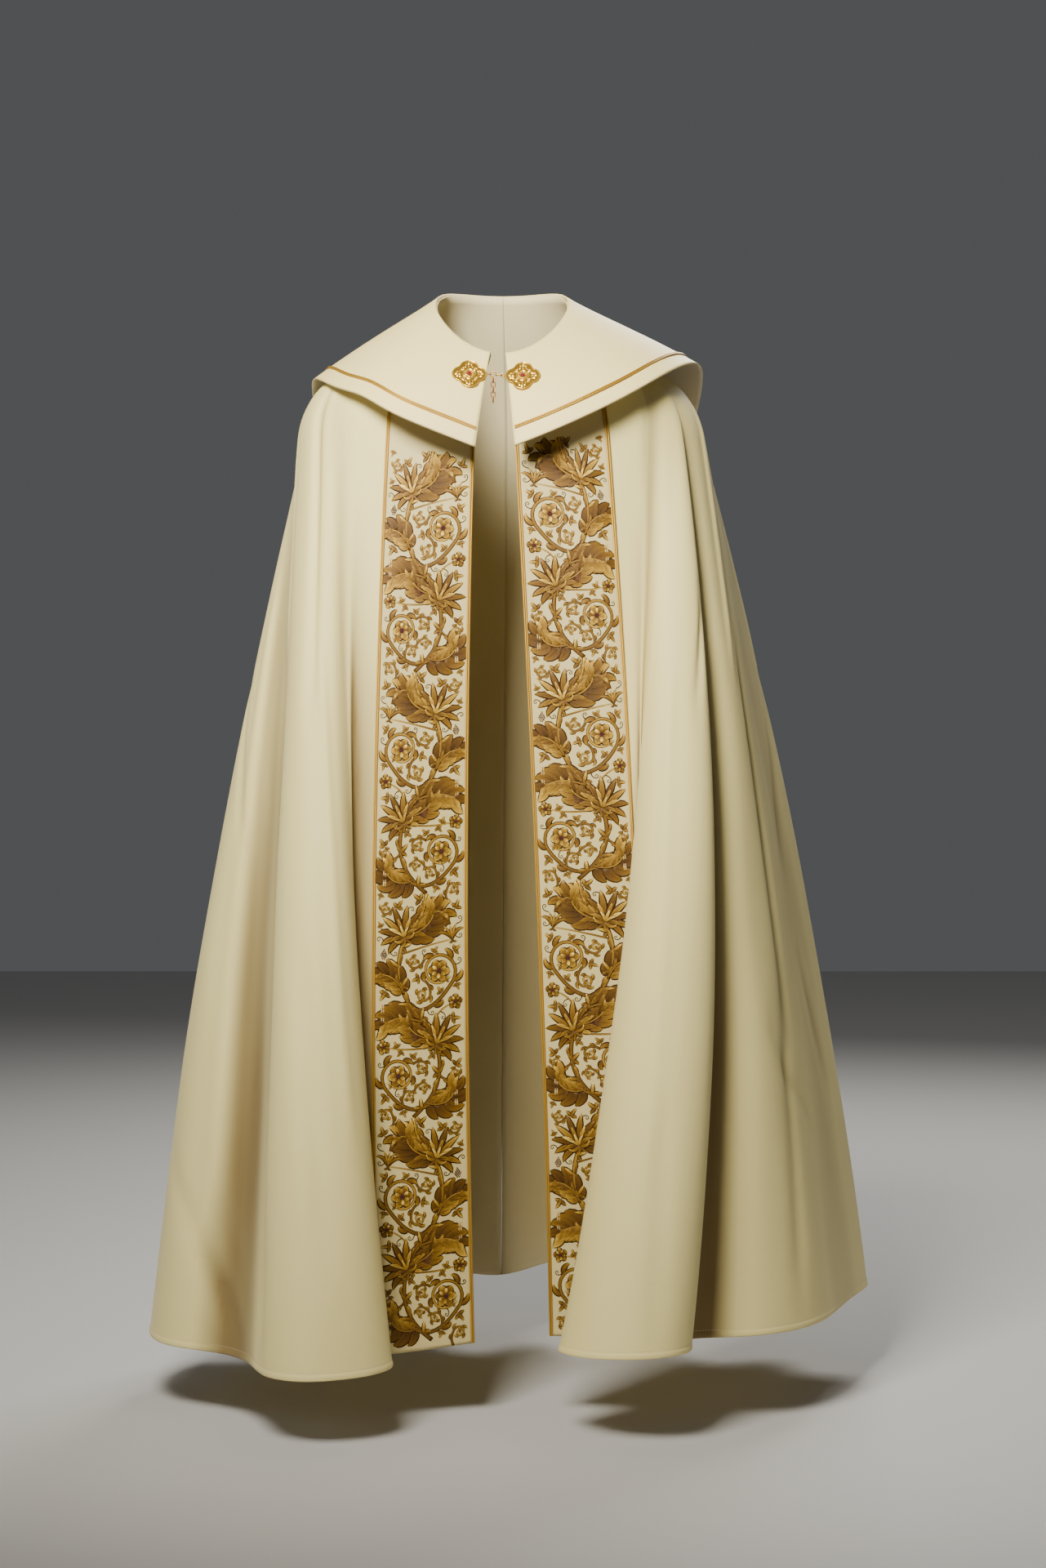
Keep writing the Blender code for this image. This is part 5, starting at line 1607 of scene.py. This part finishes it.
def build_clasp(looks):
    """Two plates, an eye on each, the ring, the hook between them and the hanging chain."""
    places = {"right": plate_frame(RIGHT_PLATE_X, PLATE_Z), "left": plate_frame(LEFT_PLATE_X, PLATE_Z)}
    for side, place in places.items():
        build_plate(side, place, looks)
        build_stone(side, place, looks)
    tip = PLATE_HALF_WIDTH * float(plate_outline(0.0))
    start = Vector(on_plate(places["right"], tip, 0.0, PLATE_BASE))
    end = Vector(on_plate(places["left"], -tip, 0.0, PLATE_BASE))
    along = (end - start).normalized()
    up = Vector((0.0, 0.0, 1.0))
    front = along.cross(up)
    eye_step = EYE_RADIUS + WIRE + SEAM_GAP
    inside = EYE_RADIUS - 2.0 * WIRE - SEAM_GAP
    ring_at = eye_step + inside + RING_RADIUS
    hook_from = ring_at + RING_RADIUS - 2.0 * WIRE - SEAM_GAP
    hook_to = (end - start).length - eye_step - inside
    stretch = hook_to - hook_from - 2.0 * EYE_RADIUS
    loops = {
        "clasp_eye_right": (start + along * eye_step, front, EYE_RADIUS, 0.0),
        "clasp_ring": (start + along * ring_at, up, RING_RADIUS, 0.0),
        "clasp_hook": (start + along * (hook_from + hook_to) / 2.0, front, EYE_RADIUS, stretch),
        "clasp_eye_left": (end - along * eye_step, up, EYE_RADIUS, 0.0),
    }
    for name, (middle, side, radius, length) in loops.items():
        line = loop_line(middle, along, side, radius, length)
        build_loops(f"{name}_wire", [line], WIRE, looks["wire"], [name])
    top = start + along * ring_at - up * (RING_RADIUS - WIRE - SEAM_GAP - LINK_WIRE)
    half = LINK_RADIUS + LINK_STRETCH / 2.0
    step = 2.0 * (half - LINK_WIRE) - SEAM_GAP
    lines = []
    for k in range(LINKS):
        middle = top - up * (half + k * step)
        lines.append(loop_line(middle, up, front if k % 2 == 0 else along, LINK_RADIUS, LINK_STRETCH))
    names = [f"chain_link_{k + 1}" for k in range(LINKS)]
    build_loops("clasp_chain_links", lines, LINK_WIRE, looks["chain"], names)


# Floor, light and camera
def build_stage():
    look = Look("studio_floor_paint", Roughness=0.75, Base_Color=(0.56, 0.55, 0.53, 1.0))
    corners = [(-9, -9, FLOOR_Z), (9, -9, FLOOR_Z), (9, 9, FLOOR_Z), (-9, 9, FLOOR_Z)]
    mesh = new_mesh("studio_floor", corners, (), [(0, 1, 2, 3)], [look.made])
    put_in_scene("studio_floor", mesh)


def area_light(name, place, target, size, power, colour, spread):
    light = bpy.data.lights.new(name, "AREA")
    light.shape = "RECTANGLE"
    light.size, light.size_y = size
    light.energy = power
    light.spread = math.radians(spread)
    light.color = colour
    lamp = put_in_scene(name, light)
    lamp.location = place
    lamp.rotation_euler = (Vector(target) - Vector(place)).to_track_quat("-Z", "Y").to_euler()


def build_lights():
    world = bpy.data.worlds.new("studio")
    bpy.context.scene.world = world
    world.use_nodes = True
    background = world.node_tree.nodes["Background"]
    background.inputs["Color"].default_value = (0.86, 0.88, 0.92, 1.0)
    background.inputs["Strength"].default_value = 0.10
    chest, collar = (0.0, 0.0, -0.60), (0.0, 0.0, -0.15)
    area_light("key_softbox", (-0.6, -1.95, 1.05), collar, (0.8, 0.9), 39.0, (1.0, 0.965, 0.89), 85.0)
    area_light("side_softbox", (-3.3, -0.8, 0.3), chest, (1.0, 2.0), 7.0, (0.92, 0.96, 1.0), 180.0)
    area_light("fill_softbox", (3.2, -1.2, 0.7), chest, (1.0, 1.8), 2.0, (1.0, 0.95, 0.86), 180.0)
    area_light("back_softbox", (1.2, 3.2, 1.8), chest, (2.0, 1.5), 115.0, (1.0, 0.98, 0.95), 180.0)


def build_camera():
    """The photograph's own angle: from the front, at the height of the wearer's waist."""
    camera = bpy.data.cameras.new("camera")
    camera.sensor_fit = "VERTICAL"
    camera.sensor_height = SENSOR_HEIGHT
    camera.lens = PHOTO_FOCAL_PIXELS / PHOTO_HEIGHT_PIXELS * SENSOR_HEIGHT
    holder = put_in_scene("camera", camera)
    holder.location = (0.028, -4.0, -0.62)
    holder.rotation_euler = (math.radians(90.0), 0.0, 0.0)
    bpy.context.scene.camera = holder


TREES = {"cord": cord_tree(), "stitch": stitch_tree(), "bead": bead_tree()}


def main():
    build_camera()
    looks = make_looks()
    for side in ("right", "left"):
        build_mantle_half(side, looks)
    repeat = draw_repeat()
    arrays = embroidery_arrays(repeat)
    for side in ("right", "left"):
        band = Band(side)
        build_orphrey(band, looks)
        build_band_braid(band, "front", looks)
        build_band_braid(band, "outer", looks)
        build_embroidery(band, repeat, arrays, looks)
    build_collar(looks)
    build_clasp(looks)
    build_stage()
    build_lights()


main()
